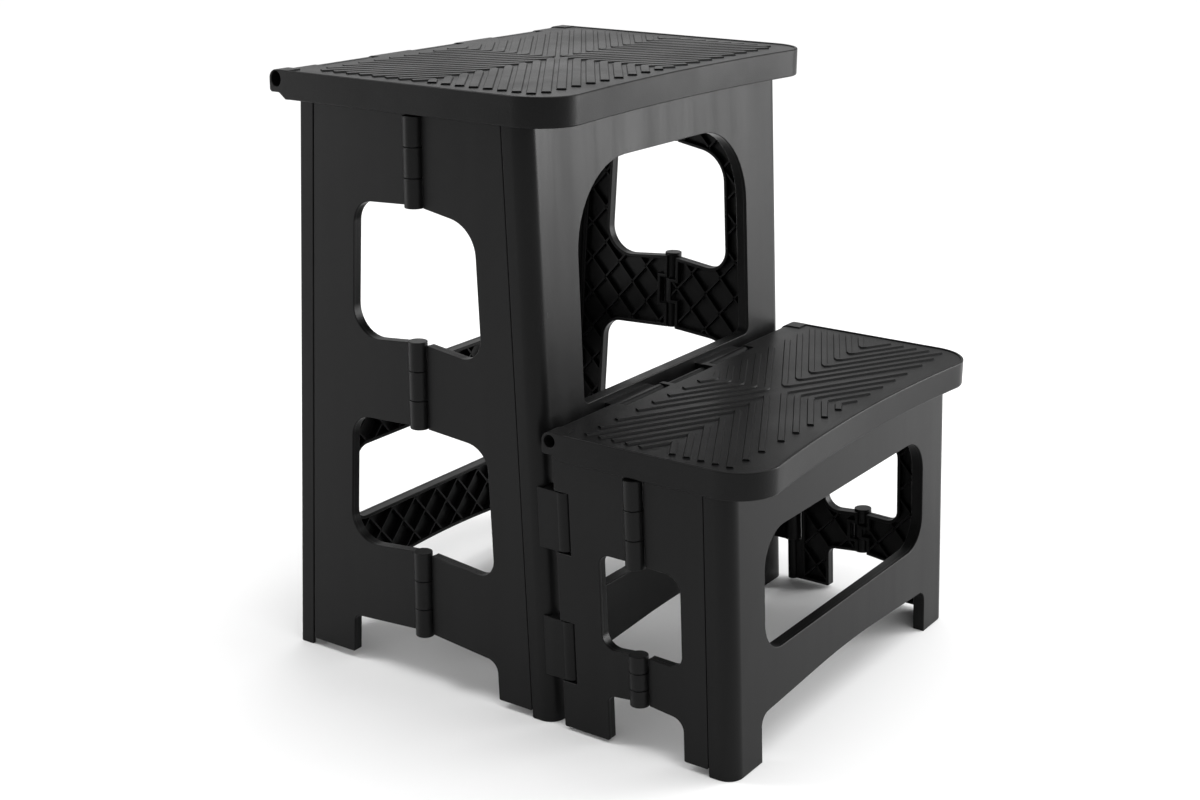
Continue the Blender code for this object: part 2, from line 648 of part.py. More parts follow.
tread_arms(rear_panel, "upper", UPPER_AXIS_Y, UPPER_AXIS_Z, rear_face(UPPER_AXIS_Z), UPPER_ARMS)
tread_arms(front_panel, "lower", LOW_AXIS_Y, LOW_AXIS_Z, front_face(LOW_AXIS_Z), LOW_ARMS)

upper_tread = tread("upper_tread", UPPER_TREAD_WIDTH, HEIGHT, UPPER_AXIS_Y, UPPER_TREAD_DEPTH,
                    UPPER_SKIRT, UPPER_ARMS)
attach(upper_tread, upper_lift, tread_black)
tread_rod("upper_tread_rod", UPPER_TREAD_WIDTH, UPPER_AXIS_Y, UPPER_AXIS_Z, stand)
attach(rear_panel, stand, panel_black)


def tall_side(side, label):
    """Both leaves of one side of the tall stool; returns the axis empty of its front leaf."""
    rear_point = on_axis(side, CORNER_AXIS_IN, axis_a)
    front_point = on_axis(side, CORNER_AXIS_IN, axis_c)
    rear_axis = empty(f"fold_a_{label}", rear_point(0), stand)
    middle_axis = empty(f"fold_b_{label}", on_axis(side, -MIDDLE_AXIS_OUT, axis_b)(0), rear_axis)
    rear = leaf_slab(f"rear_leaf_{label}", side, line(axis_a(0) + LEAF_EDGE_PAST_AXIS, -SPLAY),
                     line(axis_b(0) + LEAF_GAP, 0), LEAF_FOOT_LIFT, LEAF_TOP, TALL_WINDOWS,
                     LEAF_EDGE_PAST_AXIS + REAR_EDGE_RIM, MIDDLE_EDGE_RIM)
    front = leaf_slab(f"front_leaf_{label}", side, line(axis_b(0) - LEAF_GAP, 0), axis_c,
                      LEAF_FOOT_LIFT, LEAF_TOP, TALL_WINDOWS, MIDDLE_EDGE_RIM, FRONT_EDGE_RIM)
    edge_barrel(rear, rear_point, LEAF_FOOT_LIFT, LEAF_TOP)
    edge_barrel(front, front_point, LEAF_FOOT_LIFT, LEAF_TOP)
    return_step(front, side, FRONT_Y, SPLAY)
    corner_knuckles(rear_panel, rear, rear_point, rear_face, -1, REAR_AXIS, KNUCKLE_LEVELS)
    corner_knuckles(front_panel, front, front_point, front_face, 1, FRONT_AXIS, KNUCKLE_LEVELS,
                    OPEN_PIVOT_GAP)
    edge_bore(rear, rear_point, LEAF_FOOT_LIFT, LEAF_TOP)
    edge_bore(front, front_point, LEAF_FOOT_LIFT, LEAF_TOP)
    middle_hinge(rear, front, side, axis_b, MIDDLE_BARRELS, f"side_hinge_{label}", rear_axis)
    attach(rear, rear_axis, leaf_black)
    attach(front, middle_axis, leaf_black)
    corner_rod(f"rear_corner_rod_{label}", rear_point, LEAF_FOOT_LIFT, LEAF_TOP, stand)
    corner_rod(f"front_corner_rod_{label}", front_point, LEAF_FOOT_LIFT, LEAF_TOP, middle_axis)
    return middle_axis


left_middle = tall_side(-1, "left")
tall_side(1, "right")
front_holder = empty("fold_c", on_axis(-1, CORNER_AXIS_IN, axis_c)(0), left_middle)
attach(front_panel, front_holder, panel_black)
lower_lift = empty("lower_tread_axis", (0, LOW_AXIS_Y, LOW_AXIS_Z), front_holder)
lower_tread = tread("lower_tread", LOW_TREAD_WIDTH, LOW_HEIGHT, LOW_AXIS_Y, LOW_TREAD_DEPTH,
                    LOW_SKIRT, LOW_ARMS)
notch_half = FINGER_NOTCH[0] / 2
notch_start = LOW_AXIS_Y + HINGE_SETBACK - FINGER_NOTCH[1]
cut(lower_tread, box("finger_notch", (-notch_half, notch_start, LOW_HEIGHT - LOW_SKIRT - PAST),
                     (notch_half, LOW_AXIS_Y + HINGE_SETBACK + PAST, LOW_HEIGHT + PAST)))
attach(lower_tread, lower_lift, tread_black)
tread_rod("lower_tread_rod", LOW_TREAD_WIDTH, LOW_AXIS_Y, LOW_AXIS_Z, front_holder)


def bracket(leaf, side, label, point):
    """Two blocks on the tall front panel that carry one side of the low stool."""
    for i, (low, high) in enumerate(BRACKETS):
        tag = f"bracket_{label}_{i}"
        block = [(side * (HALF - inset), depth) for inset, depth in BRACKET_PLAN]
        join(front_panel, plate(tag + "_block", [block], low, high,
                                lambda x, depth, z: (x, front_face(z) + depth, z)),
             cylinder(tag + "_knuckle", point(low + FIT), point(high - FIT), BRACKET_RADIUS))
        low_room, high_room = low - BRACKET_GAP, high + BRACKET_GAP
        cut(leaf, cylinder(tag + "_notch", point(low_room), point(high_room), BRACKET_RADIUS + BRACKET_GAP))
        inner, outer = sorted((side * (HALF - LEAF - PAST), side * (HALF + PAST)))
        room = [(inner, low_room), (outer, low_room), (outer, high_room), (inner, high_room)]
        cut(leaf, plate(tag + "_room", [room], -BRACKET_AXIS, PAST, on_panel(front_face, 1)))
    cut(front_panel, thin_bar(f"bracket_bore_{label}", point(0.0), point(LOW_LEAF_TOP), CORNER_ROD + FIT))


def low_side(side, label):
    """Both leaves of one side of the low stool, on the brackets of the tall front panel."""
    rear_point = on_axis(side, CORNER_AXIS_IN, low_a)
    front_point = on_axis(side, CORNER_AXIS_IN, low_c)
    rear_axis = empty(f"low_fold_a_{label}", rear_point(0), front_holder)
    middle_axis = empty(f"low_fold_b_{label}", on_axis(side, -MIDDLE_AXIS_OUT, low_b)(0), rear_axis)
    middle_slope = (SPLAY + LOW_SPLAY) / 2
    rear = leaf_slab(f"low_rear_leaf_{label}", side, line(low_a(0) + LOW_LEAF_EDGE_PAST_AXIS, SPLAY),
                     line(low_b(0) + LEAF_GAP, middle_slope), LOW_REAR_FOOT_LIFT, LOW_LEAF_TOP,
                     LOW_WINDOWS, LOW_LEAF_EDGE_PAST_AXIS + LOW_REAR_EDGE_RIM, MIDDLE_EDGE_RIM)
    front = leaf_slab(f"low_front_leaf_{label}", side, line(low_b(0) - LEAF_GAP, middle_slope), low_c,
                      LEAF_FOOT_LIFT, LOW_LEAF_TOP, LOW_WINDOWS, MIDDLE_EDGE_RIM, FRONT_EDGE_RIM)
    edge_barrel(rear, rear_point, LOW_REAR_FOOT_LIFT, LOW_LEAF_TOP)
    edge_barrel(front, front_point, LEAF_FOOT_LIFT, LOW_LEAF_TOP)
    return_step(front, side, LOW_Y, LOW_SPLAY)
    bracket(rear, side, label, rear_point)
    corner_knuckles(low_panel, front, front_point, low_face, 1, FRONT_AXIS, LOW_KNUCKLE_LEVELS)
    edge_bore(rear, rear_point, LOW_REAR_FOOT_LIFT, LOW_LEAF_TOP)
    edge_bore(front, front_point, LEAF_FOOT_LIFT, LOW_LEAF_TOP)
    middle_hinge(rear, front, side, low_b, LOW_MIDDLE_BARRELS, f"low_side_hinge_{label}", rear_axis)
    attach(rear, rear_axis, leaf_black)
    attach(front, middle_axis, leaf_black)
    corner_rod(f"bracket_rod_{label}", rear_point, LOW_REAR_FOOT_LIFT, LOW_LEAF_TOP, front_holder)
    corner_rod(f"low_corner_rod_{label}", front_point, LEAF_FOOT_LIFT, LOW_LEAF_TOP, middle_axis)
    return middle_axis


low_middle = low_side(-1, "left")
low_side(1, "right")
low_holder = empty("low_fold_c", on_axis(-1, CORNER_AXIS_IN, low_c)(0), low_middle)
attach(low_panel, low_holder, panel_black)
bpy.context.view_layer.update()
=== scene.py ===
import math

import bmesh
import bpy
from mathutils import Matrix, Vector


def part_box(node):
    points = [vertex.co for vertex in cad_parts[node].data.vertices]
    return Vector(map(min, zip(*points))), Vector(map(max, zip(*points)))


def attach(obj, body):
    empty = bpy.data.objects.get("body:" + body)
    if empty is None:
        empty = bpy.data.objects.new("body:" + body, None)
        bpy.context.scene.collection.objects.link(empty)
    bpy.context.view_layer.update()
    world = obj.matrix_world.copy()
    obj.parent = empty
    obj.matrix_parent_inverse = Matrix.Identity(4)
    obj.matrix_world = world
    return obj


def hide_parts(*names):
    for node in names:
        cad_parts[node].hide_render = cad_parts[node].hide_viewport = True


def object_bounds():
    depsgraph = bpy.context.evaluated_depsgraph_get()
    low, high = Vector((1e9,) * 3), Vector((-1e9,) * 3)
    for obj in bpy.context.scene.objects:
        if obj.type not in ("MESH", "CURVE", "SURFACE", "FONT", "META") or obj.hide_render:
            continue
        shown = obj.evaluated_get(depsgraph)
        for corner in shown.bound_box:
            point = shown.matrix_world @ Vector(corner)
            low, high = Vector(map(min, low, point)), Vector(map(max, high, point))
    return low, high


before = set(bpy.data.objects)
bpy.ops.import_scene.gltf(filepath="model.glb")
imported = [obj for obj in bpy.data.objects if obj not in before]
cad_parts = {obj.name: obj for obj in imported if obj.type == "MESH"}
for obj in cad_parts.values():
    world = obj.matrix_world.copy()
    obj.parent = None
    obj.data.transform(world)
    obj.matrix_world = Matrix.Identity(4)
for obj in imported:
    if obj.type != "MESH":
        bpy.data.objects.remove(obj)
cad_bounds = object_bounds()

# Folding two-step stool.  X is its width, -Y its front, Z is up; every length is in metres.

# ---------------------------------------------------------------- sizes of the stool
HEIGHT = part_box("upper_tread")[1].z
LOW_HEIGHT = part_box("lower_tread")[1].z
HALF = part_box("front_panel")[1].x             # half width of the panels, then of the treads
UPPER_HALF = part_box("upper_tread")[1].x
LOW_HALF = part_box("lower_tread")[1].x
REAR_Y = cad_bounds[1][1]                     # faces of the three panels at the floor
FRONT_Y = REAR_Y - 0.2476
LOW_Y = FRONT_Y - 0.149
SPLAY = 0.055                                 # lean of the tall panels, then of the low one
LOW_SPLAY = 0.050
PANEL_TOP = HEIGHT - 0.0034
LOW_PANEL_TOP = LOW_HEIGHT - 0.0034

SKIN = 0.003                  # wall of the panels and leaves
CORNER = 0.0125               # rounded upright corners of the front panels, then of the rear one
REAR_CORNER = 0.0022
FRONT_RETURN = 0.020          # side walls of the two front panels, then of the rear one
REAR_RETURN = 0.013
BEND_STEPS = 8                # flats that make up a rounded upright corner
RIM = 0.003                   # wall round an opening, and its depth
RIM_DEPTH = 0.0095
EDGE = 0.0006                 # rounding of moulded edges
TUCK = 0.00015                # an inner wall stands this far back from the edge of its sheet
TOE = 0.0012                  # rounding of the feet

# panel openings: half width, bottom, top, radius of the low corners, of the high corners
OPEN_HALF = HALF - 0.054
REAR_OPENINGS = ((OPEN_HALF, 0.088, 0.149, 0.012, 0.012),
                 (OPEN_HALF, 0.201, HEIGHT - 0.070, 0.014, 0.030))
FRONT_OPENINGS = ((OPEN_HALF, 0.083, 0.149, 0.012, 0.012),
                  (OPEN_HALF, LOW_HEIGHT + 0.002, HEIGHT - 0.0555, 0.006, 0.062))
LOW_OPENINGS = ((HALF - 0.045, 0.077, 0.1655, 0.024, 0.027),)
ARCH_HALF = HALF - 0.039      # arch between a panel's feet
ARCH_SHOULDER = 0.035
ARCH_TOP = 0.042
ARCH_RADIUS = 0.009
ARCH_CROWN = 0.9

RIB_FOOT_WIDTH = 0.0021
RIB_TOP_WIDTH = 0.0015
RIB_BED = 0.0004              # ribs start this deep in the sheet and stop this short of the rim
RIB_SHORT = 0.001
RIB_MARGIN = 0.016            # ribs behind a panel stop this far in from its sides
RIB_LEVEL = 0.0035            # and this far above the floor
TREAD_RIB = 0.0035            # height of the ribs under a tread
LATTICE_WIDE = 0.028          # diagonals of one diamond of the ribs
LATTICE_TALL = 0.031
LATTICE_REACH = 40            # ribs tried on each side of the middle one
SHORTEST_RIB = 0.003

LEAF = 0.0085                 # depth of a leaf's walls
LEAF_WALL_IN = 0.005          # a leaf's end wall stands this far inside its corner axis
LOW_REAR_WALL_IN = 0.0085
LEAF_LIP = 0.0075             # the tall rear leaf's sheet runs this far past its axis
LOW_LEAF_LIP = 0.004
LEAF_STEP = 0.0008            # a front leaf is thicker where it slips inside its panel
TONGUE = 0.0026               # thickness of the tongue there, and its overlap
TONGUE_LAP = 0.004
FOOT_LIFT = 0.0055            # undersides of the leaves
LOW_REAR_FOOT_LIFT = 0.0025
LEAF_TOP = HEIGHT - 0.0145
LOW_LEAF_TOP = LOW_HEIGHT - 0.0145

GAP = 0.0004                  # running clearance
TUCKED = SKIN + GAP           # depth at which a front leaf passes inside its panel's side wall
CORNER_BARREL = 0.004         # hinge barrels at the corners, and their axes from the side
CORNER_AXIS_IN = 0.008
REAR_AXIS_IN = 0.0215         # hinge axes from the panels' faces
FRONT_AXIS_IN = 0.0121
BRACKET_AXIS_OUT = 0.013
KNUCKLE = 0.024
KNUCKLE_LEVELS = (0.070, HEIGHT - 0.050)
LOW_KNUCKLE_LEVELS = (0.055, LOW_HEIGHT - 0.052)
WEB_HALF = 0.003              # a knuckle's web, and the depth at which it leaves a rounded corner
CORNER_WEB = 0.0042
MIDDLE_BARREL = 0.007
MIDDLE_OUT = 0.0004           # the middle hinges stand this far out from the sides
BRACKETS = ((0.0385, 0.0835), (0.1355, 0.1795))
BRACKET_RADIUS = 0.0076
BRACKET_ROOM = 0.0006
# plan of a bracket: in from the side, back from the panel's face, radius
BRACKET_PLAN = ((0.0007, -BRACKET_AXIS_OUT, 0), (0.0145, -BRACKET_AXIS_OUT, 0), (0.0145, 0.0018, 0),
                (0.0024, 0.0018, 0.001), (0.0024, 0.0060, 0.0005), (0.0007, 0.0060, 0.0005))

# knuckle groups of the middle hinges, bottom and top, from the highest group down
MIDDLE_GROUPS = ((HEIGHT - 0.0865, HEIGHT - 0.022), (0.2025, 0.268), (0.0395, 0.107))
LOW_MIDDLE_GROUPS = ((0.1395, LOW_HEIGHT - 0.021), (0.0385, 0.0765))

# arms that carry the treads' rods: middle and width
UPPER_ARMS = ((-0.104, 0.060), (0.0, 0.056), (0.104, 0.060))
LOW_ARMS = ((-0.0615, 0.057), (0.0615, 0.057))
ARM_HALF = 0.0035
ARM_EYE = 0.0051
ARM_ROOT = SKIN * 0.7
ARM_ROOM = 0.0005

TREAD_CORNER = 0.032
TREAD_HOLLOW = 0.008          # how far the front edge curves in
UPPER_NOSE = 0.0023           # how far the treads overhang their front panels
LOW_NOSE = 0.0105
UPPER_SKIRT = 0.021
LOW_SKIRT = 0.020
SKIRT_WALL = 0.0024
BOARD_INSET = 0.0023
END_BLOCK = 0.014             # width of the blocks at a tread's rear corners
SHY = 0.0002                  # parts meant to lie just under a face
HINGE_DROP = 0.0068
HINGE_SETBACK = 0.0065
BARREL = 0.0056
SLOPE_START = 0.0082          # the skirt rises from here to here, as it meets the hinge
SLOPE_END = 0.0022
SKIRT_END = 0.0164
ROD_HOLE = 0.0045             # half width of the hole in an end block
UPPER_HOLE_TALL = 0.0056
FINGER_WIDTH = 0.054          # finger notch in the lower tread
FINGER_DEPTH = 0.0155
ROD_SLEEVE = 0.0034
GRIP = 0.0011                 # height of the grip bars, and how much their sides slope
GRIP_SLOPE = 0.0008
# grip bars: reach in X and Y, middle, first bar, pitch, lean
UPPER_GRIP = ((0.158, 0.097), 0.075, 0.006, 0.0120, 0.7)
LOW_GRIP = ((0.1615, 0.058), -0.1215, 0.0069, 0.011, 0.53)
UPPER_GRIP_WIDTH = 0.0064
LOW_GRIP_WIDTH = 0.0046

WELD = 0.000005               # points closer than this are one
SMALL_CORNER = 0.004          # corners up to this radius take COARSE_TURN, larger ones FINE_TURN
COARSE_TURN = 0.4
FINE_TURN = 0.13
BROAD_CURVE = 0.5             # and curves past this radius a set number of steps
BROAD_STEPS = 16
CREASE = 0.62                 # angle past which an edge stays sharp


def line(start, slope):
    """A line that gives Y from Z, because the panels and their hinges lean."""
    return lambda z: start + slope * z


rear_face = line(REAR_Y, -SPLAY)
front_face = line(FRONT_Y, SPLAY)
low_face = line(LOW_Y, LOW_SPLAY)
rear_axis = line(REAR_Y - REAR_AXIS_IN, -SPLAY)
front_axis = line(FRONT_Y + FRONT_AXIS_IN, SPLAY)
middle_axis = line((rear_axis(0) + front_axis(0)) / 2, 0.0)
bracket_axis = line(FRONT_Y - BRACKET_AXIS_OUT, SPLAY)
low_axis = line(LOW_Y + FRONT_AXIS_IN, LOW_SPLAY)
low_middle_axis = line((bracket_axis(0) + low_axis(0)) / 2, (SPLAY + LOW_SPLAY) / 2)
UPPER_ROD = (rear_face(HEIGHT - HINGE_DROP) + 0.016, HEIGHT - HINGE_DROP)
LOW_ROD = (front_face(LOW_HEIGHT - HINGE_DROP) - 0.0105, LOW_HEIGHT - HINGE_DROP)

# leaf windows: wall line, top, its drop and radius, bottom, its drop and radius
REAR_WALL = line(rear_axis(0) - 0.031, -SPLAY)
FRONT_WALL = line(front_axis(0) + 0.036, SPLAY)
LOW_FRONT_WALL = line(low_axis(0) + 0.0275, LOW_SPLAY)
REAR_WINDOWS = ((REAR_WALL, HEIGHT - 0.085, 0.003, 0.017, 0.266, 0.006, 0.022),
                (REAR_WALL, 0.203, 0.003, 0.018, 0.105, 0.007, 0.022))
FRONT_WINDOWS = ((FRONT_WALL, HEIGHT - 0.085, 0.009, 0.026, 0.266, 0.0075, 0.016),
                 (FRONT_WALL, 0.203, 0.005, 0.020, 0.105, 0.0065, 0.014))
LOW_REAR_WINDOWS = ((line(bracket_axis(0) - 0.0315, SPLAY),
                     LOW_HEIGHT - 0.082, 0.0, 0.008, 0.0745, 0.003, 0.012),)
LOW_FRONT_WINDOWS = ((LOW_FRONT_WALL, LOW_HEIGHT - 0.082, 0.002, 0.013, 0.0745, 0.001, 0.009),)
# cuts over the leaves' feet: wall line, top, its drop and radius
REAR_FOOT = (line(rear_axis(0) - 0.0345, -SPLAY), 0.042, 0.005, 0.006)
FRONT_FOOT = (line(front_axis(0) + 0.038, SPLAY), 0.042, 0.007, 0.010)
LOW_REAR_FOOT = (line(bracket_axis(0) - 0.0345, SPLAY), 0.040, 0.003, 0.006)
LOW_FRONT_FOOT = (LOW_FRONT_WALL, 0.040, 0.004, 0.010)


# ---------------------------------------------------------------- outlines
def rounded(corners):
    """Outline points from (a, b, radius) corners."""
    points = []
    for i, (a, b, radius) in enumerate(corners):
        here = Vector((a, b))
        before = (Vector(corners[i - 1][:2]) - here).normalized()
        after = (Vector(corners[(i + 1) % len(corners)][:2]) - here).normalized()
        if radius == 0 or before.dot(after) < -0.9999:
            points.append(here)
            continue
        half = before.angle(after) / 2
        reach = radius / math.tan(half)
        start = here + before * reach
        middle = here + (before + after).normalized() * radius / math.sin(half)
        sweep = (start - middle).angle_signed(here + after * reach - middle)
        steps = max(2, round(abs(sweep) / (FINE_TURN if radius > SMALL_CORNER else COARSE_TURN)))
        if radius > BROAD_CURVE:
            steps = BROAD_STEPS
        for step in range(steps + 1):
            turned = Matrix.Rotation(-sweep * step / steps, 2) @ (start - middle)
            points.append(middle + turned)
    return points


def grown(corners, amount):
    """The same corners with every side moved outwards by amount; corners run anticlockwise."""
    moved = []
    for i, (a, b, radius) in enumerate(corners):
        here = Vector((a, b))
        along_in = (here - Vector(corners[i - 1][:2])).normalized()
        along_out = (Vector(corners[(i + 1) % len(corners)][:2]) - here).normalized()
        out_in = Vector((along_in.y, -along_in.x))
        out_out = Vector((along_out.y, -along_out.x))
        shift = (out_in + out_out) / (1 + out_in.dot(out_out)) * amount
        if radius:
            radius = max(radius + (amount if along_in.cross(along_out) > 0 else -amount), 0.0004)
        moved.append((here.x + shift.x, here.y + shift.y, radius))
    return moved


def circle(a, b, radius_a, radius_b=None, steps=32):
    """Points of a round or oval outline."""
    radius_b = radius_b or radius_a
    turns = [math.tau * step / steps for step in range(steps)]
    return [Vector((a + radius_a * math.cos(turn), b + radius_b * math.sin(turn)))
            for turn in turns]


# ---------------------------------------------------------------- solids
def placed(name, data):
    """A new object of the scene that holds this data."""
    thing = bpy.data.objects.new(name, data)
    bpy.context.scene.collection.objects.link(thing)
    return thing


def settled_mesh(thing):
    """The plain mesh that an object comes to with its modifiers or its curve's thickness."""
    graph = bpy.context.evaluated_depsgraph_get()
    return bpy.data.meshes.new_from_object(thing.evaluated_get(graph))


def finish_mesh(mesh, place):
    """Put a flat-made mesh in place, weld it and turn its faces outwards."""
    form = bmesh.new()
    form.from_mesh(mesh)
    for vertex in form.verts:
        vertex.co = place(*vertex.co)
    bmesh.ops.remove_doubles(form, verts=form.verts, dist=WELD)
    bmesh.ops.recalc_face_normals(form, faces=form.faces)
    form.to_mesh(mesh)
    form.free()
    return mesh


def plate(loops, low, high, place, edge=EDGE, bends=()):
    """A slab from closed outlines, the first its edge and the others holes, with rounded edges.

    It spans low to high across its thickness; place turns (a, b, thickness) into a point, and
    bends are the values of a where it is divided, so that place can turn it round a corner.
    """
    flat = bpy.data.curves.new("outline", "CURVE")
    flat.dimensions = "2D"
    flat.fill_mode = "BOTH"
    flat.extrude = (high - low) / 2 - edge
    flat.bevel_depth = edge
    flat.bevel_resolution = 2
    flat.offset = -edge
    for loop in loops:
        spline = flat.splines.new("POLY")
        spline.points.add(len(loop) - 1)
        for point, corner in zip(spline.points, loop):
            point.co = (corner[0], corner[1], 0, 1)
        spline.use_cyclic_u = True
    holder = placed("outline", flat)
    mesh = settled_mesh(holder)
    bpy.data.objects.remove(holder)
    if bends:
        form = bmesh.new()
        form.from_mesh(mesh)
        bmesh.ops.remove_doubles(form, verts=form.verts, dist=WELD)
        for bend in bends:
            everything = form.verts[:] + form.edges[:] + form.faces[:]
            bmesh.ops.bisect_plane(form, geom=everything, plane_co=(bend, 0, 0),
                                   plane_no=(1, 0, 0))
        form.to_mesh(mesh)
        form.free()
    middle = (low + high) / 2
    return finish_mesh(mesh, lambda a, b, c: place(a, b, c + middle))


def bar(start, end, radius, edge=0.0004):
    """A round bar between two points, with rounded ends."""
    start, end = Vector(start), Vector(end)
    along = (end - start).normalized()
    side = along.orthogonal().normalized()
    other = along.cross(side)
    place = lambda a, b, c: start + side * a + other * b + along * c
    return plate([circle(0, 0, radius)], 0.0, (end - start).length, place, edge)


def block(low, high, place, edge=EDGE):
    """A slab with a rectangular outline: low and high are (a, b, thickness)."""
    outline = [(low[0], low[1]), (high[0], low[1]), (high[0], high[1]), (low[0], high[1])]
    return plate([outline], low[2], high[2], place, edge)


# ---------------------------------------------------------------- places
def as_drawn(x, y, z):
    """Place a flat outline level, at its own height."""
    return Vector((x, y, z))


def on_panel(face, inward):
    """Place (x, z, depth) on an upright panel."""
    return lambda x, z, depth: Vector((x, face(z) + inward * depth, z))


def round_panel(face, inward, corner):
    """The same, with the sheet turned back round the panel's upright corners."""
    flat = HALF - corner
    quarter = corner * math.pi / 2

    def place(u, z, depth):
        side = math.copysign(1, u)
        past = abs(u) - flat
        if past <= 0:
            return Vector((u, face(z) + inward * depth, z))
        if past < quarter:
            turn = past / corner
            x = flat + (corner - depth) * math.sin(turn)
            back = corner - (corner - depth) * math.cos(turn)
        else:
            x, back = HALF - depth, corner + past - quarter
        return Vector((side * x, face(z) + inward * back, z))
    return place


def on_side(side):
    """Place (y, z, depth) on a side of the stool."""
    return lambda y, z, depth: Vector((side * (HALF - depth), y, z))


def upright(side, inset, axis):
    """A point on an upright hinge axis at a height."""
    return lambda z: Vector((side * (HALF - inset), axis(z), z))


# ---------------------------------------------------------------- raised bars and ribs
def bar_tree():
    """Geometry Nodes: every edge of a mesh becomes a bar with sloping sides and closed ends."""
    tree = bpy.data.node_groups.new("raised_bars", "GeometryNodeTree")
    face = tree.interface
    face.new_socket("Geometry", in_out="INPUT", socket_type="NodeSocketGeometry")
    for name in ("Foot Width", "Top Width", "Height"):
        face.new_socket(name, in_out="INPUT", socket_type="NodeSocketFloat")
    face.new_socket("Finish", in_out="INPUT", socket_type="NodeSocketMaterial")
    face.new_socket("Geometry", in_out="OUTPUT", socket_type="NodeSocketGeometry")
    add, join = tree.nodes.new, tree.links.new
    source, result = add("NodeGroupInput"), add("NodeGroupOutput")
    paths = add("GeometryNodeMeshToCurve")
    join(source.outputs["Geometry"], paths.inputs["Mesh"])
    level = add("GeometryNodeSetCurveNormal")
    level.mode = "Z_UP"
    join(paths.outputs["Curve"], level.inputs["Curve"])
    profile = add("GeometryNodeCurvePrimitiveQuadrilateral")
    profile.mode = "TRAPEZOID"
    profile.inputs["Offset"].default_value = 0.0
    join(source.outputs["Foot Width"], profile.inputs["Bottom Width"])
    join(source.outputs["Top Width"], profile.inputs["Top Width"])
    join(source.outputs["Height"], profile.inputs["Height"])
    sweep = add("GeometryNodeCurveToMesh")
    sweep.inputs["Fill Caps"].default_value = True
    join(level.outputs["Curve"], sweep.inputs["Curve"])
    join(profile.outputs["Curve"], sweep.inputs["Profile Curve"])
    real = add("GeometryNodeRealizeInstances")
    join(sweep.outputs["Mesh"], real.inputs["Geometry"])
    finish = add("GeometryNodeSetMaterial")
    join(real.outputs["Geometry"], finish.inputs["Geometry"])
    join(source.outputs["Finish"], finish.inputs["Material"])
    join(finish.outputs["Geometry"], result.inputs["Geometry"])
    return tree


RAISED_BARS = bar_tree()


def raised(paths, foot, top, low, high, material, place):
    """Bars along flat paths: foot and top are their widths, low and high their thickness span."""
    mesh = bpy.data.meshes.new("bars")
    points, edges = [], []
    for path in paths:
        start = len(points)
        points += [(a, b, 0) for a, b in path]
        edges += [(start + i, start + i + 1) for i in range(len(path) - 1)]
    mesh.from_pydata(points, edges, [])
    holder = placed("bars", mesh)
    change = holder.modifiers.new("bars", "NODES")
    change.node_group = RAISED_BARS
    values = {"Foot Width": foot, "Top Width": top, "Height": high - low, "Finish": material}
    for socket in RAISED_BARS.interface.items_tree:
        if socket.in_out == "INPUT" and socket.name in values:
            change[socket.identifier] = values[socket.name]
    result = settled_mesh(holder)
    bpy.data.objects.remove(holder)
    middle = (low + high) / 2
    return finish_mesh(result, lambda a, b, c: place(a, b, middle - c))


def lattice(loops, centre):
    """Paths of crossing ribs, clipped to a region: the first loop is its edge, others holes."""
    paths = []
    spacing = LATTICE_WIDE * LATTICE_TALL / math.hypot(LATTICE_WIDE, LATTICE_TALL)
    for lean in (-1, 1):
        along = Vector((LATTICE_WIDE, lean * LATTICE_TALL)).normalized()
        across = Vector((-along.y, along.x))
        for k in range(-LATTICE_REACH, LATTICE_REACH + 1):
            base = Vector(centre) + across * spacing * k
            crossings = []
            for loop in loops:
                for i, point in enumerate(loop):
                    start = Vector(loop[i - 1][:2]) - base
                    end = Vector(point[:2]) - base
                    from_line, to_line = start.dot(across), end.dot(across)
                    if (from_line > 0) != (to_line > 0):
                        share = from_line / (from_line - to_line)
                        crossings.append(start.lerp(end, share).dot(along))
            crossings.sort()
            for near, far in zip(crossings[::2], crossings[1::2]):
                if far - near > SHORTEST_RIB:
                    paths.append((base + along * near, base + along * far))
    return paths


def ribs(loops, centre, depth, material, place):
    """Crossing ribs that rise from the back of a sheet to a depth."""
    return raised(lattice(loops, centre), RIB_FOOT_WIDTH, RIB_TOP_WIDTH, SKIN - RIB_BED, depth,
                  material, place)


# ---------------------------------------------------------------- finishes
def node(tree, kind, **values):
    """A shader node with values on its sockets."""
    made = tree.nodes.new(kind)
    for name, value in values.items():
        made.inputs[name.replace("_", " ")].default_value = value
    return made


